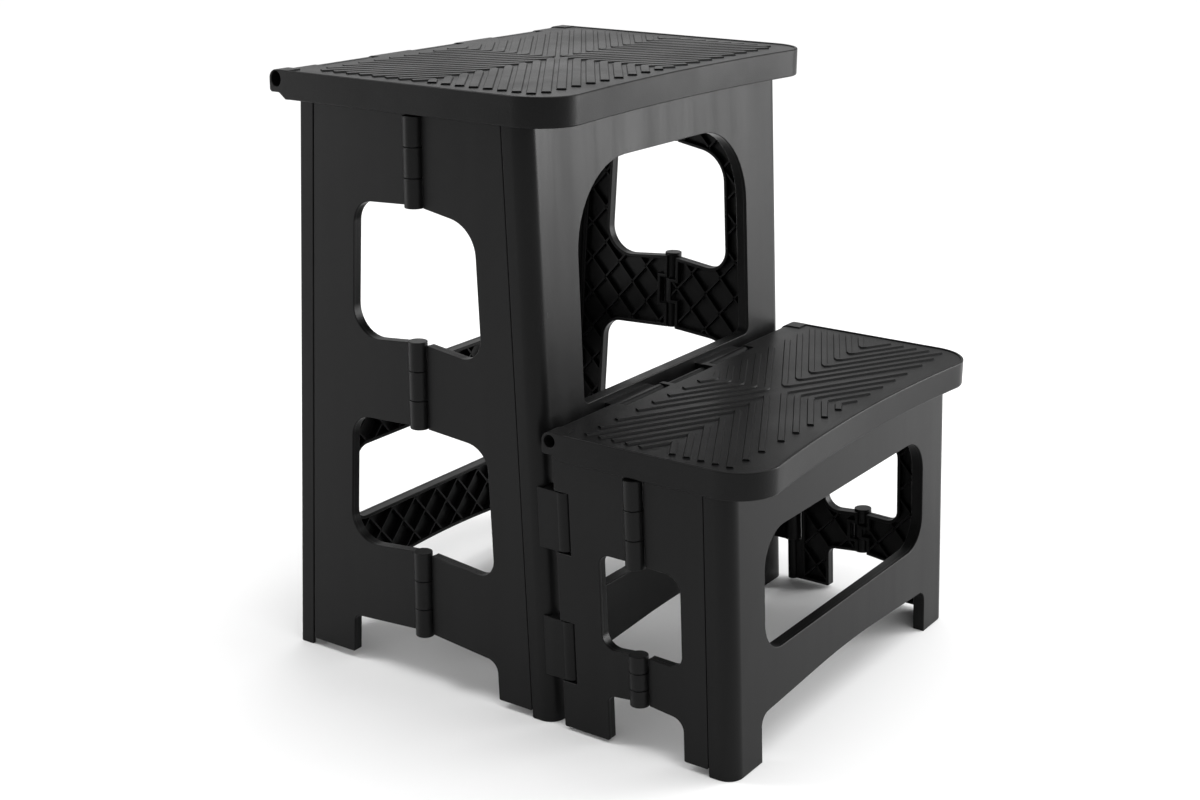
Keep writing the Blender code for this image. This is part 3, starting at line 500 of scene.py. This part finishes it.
def moulded(name, dark, light, smooth, rough, sheen, grain, grain_depth, streak):
    """Black moulded plastic: fine grain, cloudy gloss, and faint upright flow marks."""
    material = bpy.data.materials.new(name)
    material.use_nodes = True
    tree = material.node_tree
    link = tree.links.new
    shader = tree.nodes["Principled BSDF"]
    shader.inputs["IOR"].default_value = 1.46
    shader.inputs["Specular IOR Level"].default_value = sheen
    where = tree.nodes.new("ShaderNodeTexCoord").outputs["Object"]

    cloud = node(tree, "ShaderNodeTexNoise", Scale=14.0, Detail=4.0, Roughness=0.6)
    link(where, cloud.inputs["Vector"])
    stretch = node(tree, "ShaderNodeMapping", Scale=(70.0, 70.0, 2.2))
    link(where, stretch.inputs["Vector"])
    flow = node(tree, "ShaderNodeTexNoise", Scale=1.0, Detail=3.0)
    link(stretch.outputs["Vector"], flow.inputs["Vector"])
    blend = node(tree, "ShaderNodeMix", Factor=streak)
    link(cloud.outputs["Fac"], blend.inputs["A"])
    link(flow.outputs["Fac"], blend.inputs["B"])

    tone = tree.nodes.new("ShaderNodeValToRGB")
    for stop, place, grey in zip(tone.color_ramp.elements, (0.3, 0.7), (dark, light)):
        stop.position = place
        stop.color = (grey, grey, grey * 1.02, 1)
    link(blend.outputs["Result"], tone.inputs["Fac"])
    link(tone.outputs["Color"], shader.inputs["Base Color"])
    gloss = node(tree, "ShaderNodeMapRange", From_Min=0.3, From_Max=0.7, To_Min=smooth,
                 To_Max=rough)
    link(blend.outputs["Result"], gloss.inputs["Value"])
    link(gloss.outputs["Result"], shader.inputs["Roughness"])

    speck = node(tree, "ShaderNodeTexNoise", Scale=grain, Detail=2.0, Roughness=0.55)
    link(where, speck.inputs["Vector"])
    bump = node(tree, "ShaderNodeBump", Strength=0.35, Distance=grain_depth)
    link(speck.outputs["Fac"], bump.inputs["Height"])
    link(bump.outputs["Normal"], shader.inputs["Normal"])
    return material


def brushed_steel(name):
    """Drawn steel of the hinge pins, with fine lines and a few dull patches."""
    material = bpy.data.materials.new(name)
    material.use_nodes = True
    tree = material.node_tree
    link = tree.links.new
    shader = tree.nodes["Principled BSDF"]
    shader.inputs["Metallic"].default_value = 1.0
    where = tree.nodes.new("ShaderNodeTexCoord").outputs["Object"]
    lines = node(tree, "ShaderNodeTexNoise", Scale=900.0, Detail=3.0)
    link(where, lines.inputs["Vector"])
    tone = tree.nodes.new("ShaderNodeValToRGB")
    tone.color_ramp.elements[0].color = (0.28, 0.285, 0.29, 1)
    tone.color_ramp.elements[1].color = (0.52, 0.53, 0.54, 1)
    link(lines.outputs["Fac"], tone.inputs["Fac"])
    link(tone.outputs["Color"], shader.inputs["Base Color"])
    gloss = node(tree, "ShaderNodeMapRange", To_Min=0.25, To_Max=0.45)
    link(lines.outputs["Fac"], gloss.inputs["Value"])
    link(gloss.outputs["Result"], shader.inputs["Roughness"])
    return material


panel_plastic = moulded("panel_plastic", dark=0.0030, light=0.0060, smooth=0.26, rough=0.40,
                        sheen=0.14, grain=1300.0, grain_depth=0.00012, streak=0.7)
leaf_plastic = moulded("leaf_plastic", dark=0.0030, light=0.0050, smooth=0.30, rough=0.42,
                       sheen=0.16, grain=1300.0, grain_depth=0.00012, streak=0.5)
tread_plastic = moulded("tread_plastic", dark=0.0030, light=0.0065, smooth=0.30, rough=0.44,
                        sheen=0.14, grain=1100.0, grain_depth=0.00034, streak=0.1)
pin_steel = brushed_steel("pin_steel")


# ---------------------------------------------------------------- pieces
def piece(name, meshes, material, body, slot, *nodes):
    """Join meshes into one piece that stands for CAD nodes and moves with a body."""
    form = bmesh.new()
    for mesh in meshes:
        form.from_mesh(mesh)
        bpy.data.meshes.remove(mesh)
    mesh = bpy.data.meshes.new(name)
    form.to_mesh(mesh)
    form.free()
    mesh.shade_smooth()
    mesh.set_sharp_from_angle(angle=CREASE)
    mesh.materials.append(material)
    thing = placed(name, mesh)
    even = thing.modifiers.new("even_shading", "WEIGHTED_NORMAL")
    even.keep_sharp = True
    shaded = settled_mesh(thing)
    thing.modifiers.clear()
    thing.data = shaded
    shaded.name = name
    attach(thing, body)
    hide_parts(*nodes)
    return thing


# ---------------------------------------------------------------- upright panels
def opening(half, bottom, top, low_radius, high_radius):
    """Corners of an opening in an upright panel."""
    return [(-half, bottom, low_radius), (half, bottom, low_radius),
            (half, top, high_radius), (-half, top, high_radius)]


def foot_arch(grow=0.0):
    """Corners of the arch between a panel's feet, from right to left."""
    half, top, shoulder = ARCH_HALF + grow, ARCH_TOP + grow, ARCH_SHOULDER + grow
    radius = ARCH_RADIUS + grow
    return [(half, 0.0, 0), (half, shoulder, radius), (0.0, top, ARCH_CROWN),
            (-half, shoulder, radius), (-half, 0.0, 0)]


def upright_panel(face, inward, top, corner, depth, openings):
    """Meshes of a U-shaped panel with walls round its openings and ribs behind it."""
    place = on_panel(face, inward)
    holes = [opening(*sizes) for sizes in openings]
    quarter = corner * math.pi / 2
    width = HALF - corner + quarter + depth - corner
    outline = [(width, 0.0, TOE), (width, top, 0), (-width, top, 0), (-width, 0.0, TOE)]
    turns = [HALF - corner + quarter * step / BEND_STEPS for step in range(BEND_STEPS + 1)]
    bends = turns + [-turn for turn in turns]
    meshes = [plate([rounded(outline + foot_arch()[::-1])] + [rounded(hole) for hole in holes],
                    0.0, SKIN, round_panel(face, inward, corner), EDGE, bends)]
    for hole in holes:
        meshes.append(plate([rounded(grown(hole, RIM)), rounded(grown(hole, TUCK))],
                            SKIN / 2, RIM_DEPTH, place))
    meshes.append(plate([rounded(foot_arch(TUCK)) + rounded(foot_arch(RIM))[::-1]],
                        SKIN / 2, RIM_DEPTH, place))
    inner = HALF - corner - SKIN / 2
    meshes.append(block((-inner, top - RIM, SKIN / 2), (inner, top - TUCK, RIM_DEPTH), place))

    span, ceiling = HALF - RIB_MARGIN, top - RIM / 2
    field = [(span, RIB_LEVEL), (span, ceiling), (-span, ceiling), (-span, RIB_LEVEL)]
    field += [(x, max(z, RIB_LEVEL)) for x, z in rounded(foot_arch(RIM / 2))[::-1]]
    rims = [rounded(grown(hole, RIM / 2)) for hole in holes]
    meshes.append(ribs([field] + rims, (0.0, top / 2), RIM_DEPTH - RIB_SHORT, panel_plastic,
                       place))
    return meshes


def panel_knuckles(side, axis, face, inward, reach, levels, root):
    """A panel's knuckles on a corner hinge, with the webs that carry them."""
    point = upright(side, CORNER_AXIS_IN, axis)
    x = side * (HALF - CORNER_AXIS_IN)
    meshes = []
    for level in levels:
        low, high = level - KNUCKLE / 2, level + KNUCKLE / 2
        meshes.append(bar(point(low), point(high), CORNER_BARREL))
        meshes.append(block((x - WEB_HALF, low, root), (x + WEB_HALF, high, reach),
                            on_panel(face, inward)))
    return meshes


def arms(rod, face_y, places):
    """A panel's arms, which carry a tread's hinge rod."""
    rod_y, rod_z = rod
    toward = math.copysign(1, rod_y - face_y)
    low_y, high_y = sorted((rod_y, face_y - toward * ARM_ROOT))
    meshes = []
    for middle, width in places:
        left, right = middle - width / 2, middle + width / 2
        meshes.append(block((left, low_y, rod_z - ARM_HALF), (right, high_y, rod_z + ARM_HALF),
                            as_drawn))
        meshes.append(bar((left, rod_y, rod_z), (right, rod_y, rod_z), ARM_EYE))
    return meshes


def bracket(side, low, high):
    """A block on the front panel that holds a rod of the low stool."""
    outline = rounded([(HALF - inset, depth, radius) for inset, depth, radius in BRACKET_PLAN])
    in_plan = lambda x, depth, z: Vector((x, front_face(z) + depth, z))
    point = upright(side, CORNER_AXIS_IN, bracket_axis)
    return [plate([[(side * a, b) for a, b in outline]], low, high, in_plan, 0.0005),
            bar(point(low + 0.0003), point(high - 0.0003), BRACKET_RADIUS)]


# ---------------------------------------------------------------- side leaves
def leaf_corners(toward, middle, edge, bottom, top, windows, foot, groups, notches=()):
    """Corners of a leaf seen from its side, anticlockwise.

    toward is 1 for a rear leaf and -1 for a front one.  middle and edge are its two upright
    lines.  Each window is (line, top, top drop, top radius, bottom, bottom drop, bottom radius),
    and foot is (line, level, drop, radius).  groups are the middle hinge's knuckle groups.
    """
    near = lambda z: middle(z) + toward * GAP
    deep = lambda z: middle(z) + toward * (MIDDLE_BARREL + GAP)
    corners = [(edge(bottom), bottom, TOE)]
    for low, high, depth in notches:
        corners += [(edge(low), low, 0), (edge(low) - toward * depth, low, 0),
                    (edge(high) - toward * depth, high, 0), (edge(high), high, 0)]
    corners.append((edge(top), top, 0))
    ceiling = lambda y: top
    for (low, high), window in zip(groups, [*windows, None]):
        if window:
            wall, head, head_drop, head_radius, sill, sill_drop, sill_radius = window
        else:
            wall, head, head_drop, head_radius = foot
        reach = abs(wall(head) - middle(head))
        floor = lambda y: head - head_drop * abs(y - middle(head)) / reach
        first = low + (high - low) / 3 - GAP / 2
        second = low + (high - low) * 2 / 3 + GAP / 2
        own, other = (near, deep) if toward > 0 else (deep, near)
        if toward < 0:
            first, second = first + GAP, second - GAP
        y_top, y_bottom = own(high), own(low)
        corners += [(own(ceiling(y_top)), ceiling(y_top), 0), (own(second), second, 0),
                    (other(second), second, 0), (other(first), first, 0),
                    (own(first), first, 0), (own(floor(y_bottom)), floor(y_bottom), 0),
                    (wall(head - head_drop), head - head_drop, head_radius)]
        if window:
            corners.append((wall(sill - sill_drop), sill - sill_drop, sill_radius))
            ceiling = (lambda sill, drop, wall: lambda y: sill - drop * abs(y - middle(sill))
                       / abs(wall(sill) - middle(sill)))(sill, sill_drop, wall)
    corners.append((foot[0](bottom), bottom, TOE))
    return corners if toward > 0 else corners[::-1]


def spans(bottom, top, levels, room):
    """The stretches between bottom and top that knuckles at these levels leave free."""
    free, start = [], bottom
    for level in levels:
        free.append((start, level - KNUCKLE / 2 - room))
        start = level + KNUCKLE / 2 + room
    return free + [(start, top)]


def leaf(side, toward, middle, axis, sheet_edge, bottom, top, windows, foot, groups, free,
         tucked=0.0, notches=(), wall_in=LEAF_WALL_IN):
    """Meshes of a leaf: its outer sheet, the wall round it, ribs, and its barrels."""
    place = on_side(side)
    sheet = leaf_corners(toward, middle, sheet_edge, bottom, top, windows, foot, groups, notches)
    wall_edge = lambda z: axis(z) - toward * wall_in
    wall = leaf_corners(toward, middle, wall_edge, bottom, top, windows, foot, groups)
    start = tucked or SKIN / 2
    thickness = SKIN + (LEAF_STEP if tucked else 0.0)
    meshes = [plate([rounded(sheet)], 0.0, thickness, place),
              plate([rounded(grown(wall, -TUCK)), rounded(grown(wall, -RIM))], start, LEAF,
                    place)]
    if tucked:
        inside = lambda z: sheet_edge(z) + TONGUE_LAP
        tongue = [(wall_edge(bottom), bottom), (inside(bottom), bottom),
                  (inside(top), top), (wall_edge(top), top)]
        meshes.append(plate([tongue], tucked, tucked + TONGUE, place))
    field = rounded(grown(wall, -RIM / 2))
    meshes.append(ribs([field], ((wall_edge(0) + middle(0)) / 2, bottom), LEAF - RIB_SHORT,
                       leaf_plastic, place))
    point = upright(side, CORNER_AXIS_IN, axis)
    for low, high in free:
        meshes.append(bar(point(low), point(high), CORNER_BARREL))
        near, far = sorted((-toward * (wall_in + 0.0006), 0.0))
        web = [(axis(low) + near, low), (axis(low) + far, low),
               (axis(high) + far, high), (axis(high) + near, high)]
        meshes.append(plate([web], tucked or SKIN * 0.8, CORNER_AXIS_IN + 0.0005, place))
    return meshes


def middle_knuckles(side, axis, groups, wanted):
    """Knuckles of the middle hinge: the thirds of each group that belong to one leaf."""
    point = upright(side, -MIDDLE_OUT, axis)
    meshes = []
    for low, high in groups:
        third = (high - low) / 3
        for k in wanted:
            start, end = low + third * k + GAP / 2, low + third * (k + 1) - GAP / 2
            meshes.append(bar(point(start), point(end), MIDDLE_BARREL, 0.0005))
    return meshes


# ---------------------------------------------------------------- treads
def tread_points(half, rear, front, inset):
    """Outline of a tread in (x, y): large front corners and a hollow front edge."""
    radius = TREAD_CORNER - inset
    span = half - TREAD_CORNER
    left = [(-(half - inset), rear)]
    for step in range(15):
        turn = math.pi / 2 * step / 14
        left.append((-span - radius * math.cos(turn),
                     front + TREAD_CORNER - radius * math.sin(turn)))
    edge = []
    for step in range(1, 32):
        x = -span + 2 * span * step / 32
        edge.append((x, front + inset + TREAD_HOLLOW * (1 - (x / span) ** 2)))
    return left + edge + [(-x, y) for x, y in left[::-1]]


def bent_bar(run, round_off, lean):
    """Steps along a V-shaped bar, and how far its rounded point stands back at each."""
    bend = min(round_off, run / 3)
    side, tip = bend * lean * 0.18, bend * lean * 0.35
    return zip((-run, -bend, -bend / 2, 0.0, bend / 2, bend, run),
               (0.0, 0.0, side, tip, side, 0.0, 0.0))


def grip_paths(field, middle, first, pitch, lean):
    """Nested V-shaped bars: (x, y) paths that open away from both midlines."""
    reach_x, reach_y = field
    paths = []
    for sign in (-1, 1):
        for k in range(24):
            start = first + pitch * k
            if start < reach_y - 0.004:
                run = min(reach_x, (reach_y - start) / lean)
                paths.append([(x, middle + sign * (start + abs(x) * lean + back))
                              for x, back in bent_bar(run, 0.004, lean)])
            if start / lean < reach_x - 0.004:
                run = min(reach_y, (reach_x - start / lean) * lean)
                paths.append([(sign * ((start + abs(y)) / lean + back), middle + y)
                              for y, back in bent_bar(run, 0.0022, 1 / lean)])
    return paths


def arm_slots(places, rod):
    """Slots that a tread leaves for the arms: low x, high x, and the y they reach."""
    return [(middle - width / 2 - ARM_ROOM, middle + width / 2 + ARM_ROOM, rod[0] - SLOPE_START)
            for middle, width in places]


def tread(half, top, rod, front, skirt, slots, hole, grip, bar_width):
    """Meshes of a tread: skirt, board with grip bars, hinge barrel and end blocks."""
    rod_y, rod_z = rod
    rear = rod_y + HINGE_SETBACK
    step_y = rod_y - SLOPE_START
    outer = tread_points(half, step_y, front, 0.0)
    inner = tread_points(half, step_y, front, SKIRT_WALL)
    meshes = [plate([outer + inner[::-1]], top - skirt, top - SHY, as_drawn, 0.0011)]
    board = tread_points(half, rod_y, front, BOARD_INSET)
    for low_x, high_x, notch_y in slots[::-1]:
        board += [(high_x, rod_y), (high_x, notch_y), (low_x, notch_y), (low_x, rod_y)]
    meshes.append(plate([board], top - SKIN, top - GRIP, as_drawn, 0.0004))

    end = half - END_BLOCK + ARM_ROOM
    stops = [-end] + [x for low_x, high_x, _ in slots for x in (low_x, high_x)] + [end]
    for start, stop in zip(stops[::2], stops[1::2]):
        meshes.append(bar((start, rod_y, rod_z), (stop, rod_y, rod_z), BARREL))

    turns = [math.pi / 2 * step / 8 for step in range(9)]
    round_rear = [(rear - HINGE_SETBACK * (1 - math.cos(turn)),
                   rod_z + (HINGE_DROP - SHY) * math.sin(turn)) for turn in turns]
    lowest, lap = top - SKIRT_END, step_y - 0.003
    profile = [(lap, top - skirt), (step_y, top - skirt), (rod_y - SLOPE_END, lowest),
               (rear - 0.0015, lowest), (rear, lowest + 0.0015)]
    profile += round_rear + [(lap, top - SHY)]
    for side in (-1, 1):
        meshes.append(plate([profile, circle(rod_y, rod_z, *hole)], half - END_BLOCK,
                            half - 0.00005, lambda y, z, x: Vector((side * x, y, z)), 0.0005))

    meshes.append(raised(grip_paths(*grip), bar_width + GRIP_SLOPE, bar_width - GRIP_SLOPE,
                         top - GRIP - SHY, top, tread_plastic, as_drawn))
    under = tread_points(half, step_y - 0.002, front, 0.0020)
    meshes.append(ribs([under], (0.0, rod_y), SKIN + TREAD_RIB, tread_plastic,
                       lambda x, y, z: Vector((x, y, top - z))))
    return meshes


# ---------------------------------------------------------------- build
rear_panel = upright_panel(rear_face, -1, PANEL_TOP, REAR_CORNER, REAR_RETURN, REAR_OPENINGS)
front_panel = upright_panel(front_face, 1, PANEL_TOP, CORNER, FRONT_RETURN, FRONT_OPENINGS)
low_panel = upright_panel(low_face, 1, LOW_PANEL_TOP, CORNER, FRONT_RETURN, LOW_OPENINGS)
rear_panel += arms(UPPER_ROD, rear_face(UPPER_ROD[1]), UPPER_ARMS)
front_panel += arms(LOW_ROD, front_face(LOW_ROD[1]), LOW_ARMS)

bracket_notches = [(low - BRACKET_ROOM, high + BRACKET_ROOM, 0.004 + BRACKET_RADIUS + BRACKET_ROOM)
                   for low, high in BRACKETS]
bracket_free = ((LOW_REAR_FOOT_LIFT, bracket_notches[0][0]),
                (bracket_notches[0][1], bracket_notches[1][0]),
                (bracket_notches[1][1], LOW_LEAF_TOP))

for side, label in ((-1, "left"), (1, "right")):
    rear_panel += panel_knuckles(side, rear_axis, rear_face, -1, REAR_AXIS_IN, KNUCKLE_LEVELS,
                                 SKIN / 2)
    front_panel += panel_knuckles(side, front_axis, front_face, 1, FRONT_AXIS_IN, KNUCKLE_LEVELS,
                                  CORNER_WEB)
    low_panel += panel_knuckles(side, low_axis, low_face, 1, FRONT_AXIS_IN, LOW_KNUCKLE_LEVELS,
                                CORNER_WEB)
    for low, high in BRACKETS:
        front_panel += bracket(side, low, high)

    rear_leaf = leaf(side, 1, middle_axis, rear_axis, line(rear_axis(0) + LEAF_LIP, -SPLAY),
                     FOOT_LIFT, LEAF_TOP, REAR_WINDOWS, REAR_FOOT, MIDDLE_GROUPS,
                     spans(FOOT_LIFT, LEAF_TOP, KNUCKLE_LEVELS, GAP))
    rear_leaf += middle_knuckles(side, middle_axis, MIDDLE_GROUPS, (0, 2))
    front_leaf = leaf(side, -1, middle_axis, front_axis,
                      line(FRONT_Y + FRONT_RETURN + GAP, SPLAY),
                      FOOT_LIFT, LEAF_TOP, FRONT_WINDOWS, FRONT_FOOT, MIDDLE_GROUPS,
                      spans(FOOT_LIFT, LEAF_TOP, KNUCKLE_LEVELS, 2 * GAP), TUCKED)
    front_leaf += middle_knuckles(side, middle_axis, MIDDLE_GROUPS, (1,))
    low_rear = leaf(side, 1, low_middle_axis, bracket_axis,
                    line(bracket_axis(0) + LOW_LEAF_LIP, SPLAY), LOW_REAR_FOOT_LIFT, LOW_LEAF_TOP,
                    LOW_REAR_WINDOWS, LOW_REAR_FOOT, LOW_MIDDLE_GROUPS, bracket_free,
                    0.0, bracket_notches, LOW_REAR_WALL_IN)
    low_rear += middle_knuckles(side, low_middle_axis, LOW_MIDDLE_GROUPS, (0, 2))
    low_front = leaf(side, -1, low_middle_axis, low_axis,
                     line(LOW_Y + FRONT_RETURN + GAP, LOW_SPLAY), FOOT_LIFT, LOW_LEAF_TOP,
                     LOW_FRONT_WINDOWS, LOW_FRONT_FOOT, LOW_MIDDLE_GROUPS,
                     spans(FOOT_LIFT, LOW_LEAF_TOP, LOW_KNUCKLE_LEVELS, 2 * GAP), TUCKED)
    low_front += middle_knuckles(side, low_middle_axis, LOW_MIDDLE_GROUPS, (1,))
    for kind, meshes in (("rear_leaf", rear_leaf), ("front_leaf", front_leaf),
                         ("low_rear_leaf", low_rear), ("low_front_leaf", low_front)):
        name = f"{kind}_{label}"
        piece(f"{name}_moulding", meshes, leaf_plastic, name, "leaf_black", name)

piece("rear_panel_moulding", rear_panel, panel_plastic, "rear_frame", "panel_black", "rear_panel")
piece("front_panel_moulding", front_panel, panel_plastic, "front_frame", "panel_black",
      "front_panel")
piece("low_panel_moulding", low_panel, panel_plastic, "low_frame", "panel_black",
      "low_front_panel")

upper = tread(UPPER_HALF, HEIGHT, UPPER_ROD, FRONT_Y - UPPER_NOSE, UPPER_SKIRT,
              arm_slots(UPPER_ARMS, UPPER_ROD), (ROD_HOLE, UPPER_HOLE_TALL), UPPER_GRIP,
              UPPER_GRIP_WIDTH)
notch = (-FINGER_WIDTH / 2, FINGER_WIDTH / 2, LOW_ROD[0] + HINGE_SETBACK - FINGER_DEPTH)
low_slots = arm_slots(LOW_ARMS, LOW_ROD)
low_slots.insert(1, notch)
lower = tread(LOW_HALF, LOW_HEIGHT, LOW_ROD, LOW_Y - LOW_NOSE, LOW_SKIRT, low_slots, (ROD_HOLE,),
              LOW_GRIP, LOW_GRIP_WIDTH)
# the finger notch has a ledge under it and a sleeve round its rod
lower.append(block((notch[0] - 0.004, notch[2] - 0.003, LOW_HEIGHT - 0.0125),
                   (notch[1] + 0.004, LOW_ROD[0] + 0.005, LOW_HEIGHT - 0.0097), as_drawn))
lower.append(bar((notch[0] - 0.001, *LOW_ROD), (notch[1] + 0.001, *LOW_ROD), ROD_SLEEVE))
piece("upper_tread_moulding", upper, tread_plastic, "upper_tread", "tread_black", "upper_tread")
piece("lower_tread_moulding", lower, tread_plastic, "lower_tread", "tread_black", "lower_tread")

for name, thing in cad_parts.items():
    if "rod" in name or "pin" in name:
        for holder in thing.material_slots:
            holder.material = pin_steel

# ---------------------------------------------------------------- floor, light and camera
FLOOR_HALF = 9
floor_mesh = bpy.data.meshes.new("floor")
floor_mesh.from_pydata([(FLOOR_HALF * x, FLOOR_HALF * y, 0)
                        for x, y in ((-1, -1), (1, -1), (1, 1), (-1, 1))], [], [(0, 1, 2, 3)])
floor = placed("floor", floor_mesh)
floor_finish = bpy.data.materials.new("pale_floor")
floor_finish.use_nodes = True
floor_shader = floor_finish.node_tree.nodes["Principled BSDF"]
floor_shader.inputs["Base Color"].default_value = (0.88, 0.88, 0.88, 1)
floor_shader.inputs["Roughness"].default_value = 0.9
floor_shader.inputs["Specular IOR Level"].default_value = 0.1
floor_mesh.materials.append(floor_finish)

world = bpy.data.worlds.new("studio")
bpy.context.scene.world = world
world.use_nodes = True
world.node_tree.nodes["Background"].inputs["Color"].default_value = (1, 1, 1, 1)
world.node_tree.nodes["Background"].inputs["Strength"].default_value = 0.55


def softbox(name, place, aim, width, height, power):
    """A large soft light that faces a point."""
    lamp = bpy.data.lights.new(name, "AREA")
    lamp.shape = "RECTANGLE"
    lamp.size = width
    lamp.size_y = height
    lamp.energy = power
    thing = placed(name, lamp)
    thing.location = place
    thing.rotation_euler = (Vector(aim) - Vector(place)).to_track_quat("-Z", "Y").to_euler()


sun = bpy.data.lights.new("broad_light", "SUN")
sun.energy = 2.1
sun.angle = math.radians(70)
placed("broad_light", sun).rotation_euler = (
    Vector((-0.30, 0.35, -1.0)).to_track_quat("-Z", "Y").to_euler())
softbox("front_right_light", (1.7, -1.5, 0.55), (0, 0, 0.2), width=0.9, height=1.0, power=34)
softbox("rear_left_light", (-1.1, 1.7, 0.5), (-0.17, 0, 0.2), width=0.8, height=0.9, power=7)
softbox("top_rear_light", (-0.7, 1.3, 2.0), (0, 0, 0.3), width=0.6, height=0.6, power=16)
softbox("rear_right_light", (2.4, 1.8, 1.5), (0, 0, 0.4), width=1.4, height=0.8, power=3.5)

CAMERA_PLACE = (-1.1255, -0.7366, 0.6280)
AZIMUTH, ELEVATION, ROLL = (math.radians(angle) for angle in (-55.591, 17.925, 0.347))
back = Vector((math.sin(AZIMUTH) * math.cos(ELEVATION), -math.cos(AZIMUTH) * math.cos(ELEVATION),
               math.sin(ELEVATION)))
level = Vector((math.cos(AZIMUTH), math.sin(AZIMUTH), 0))
rise = back.cross(level)
right = level * math.cos(ROLL) + rise * math.sin(ROLL)
up = rise * math.cos(ROLL) - level * math.sin(ROLL)
camera_data = bpy.data.cameras.new("camera")
camera_data.sensor_width = 36.0
camera_data.lens = 54.933
camera = placed("camera", camera_data)
turn = Matrix((right, up, back)).transposed()
camera.matrix_world = Matrix.Translation(CAMERA_PLACE) @ turn.to_4x4()
bpy.context.scene.camera = camera
bpy.context.scene.view_settings.view_transform = "Standard"
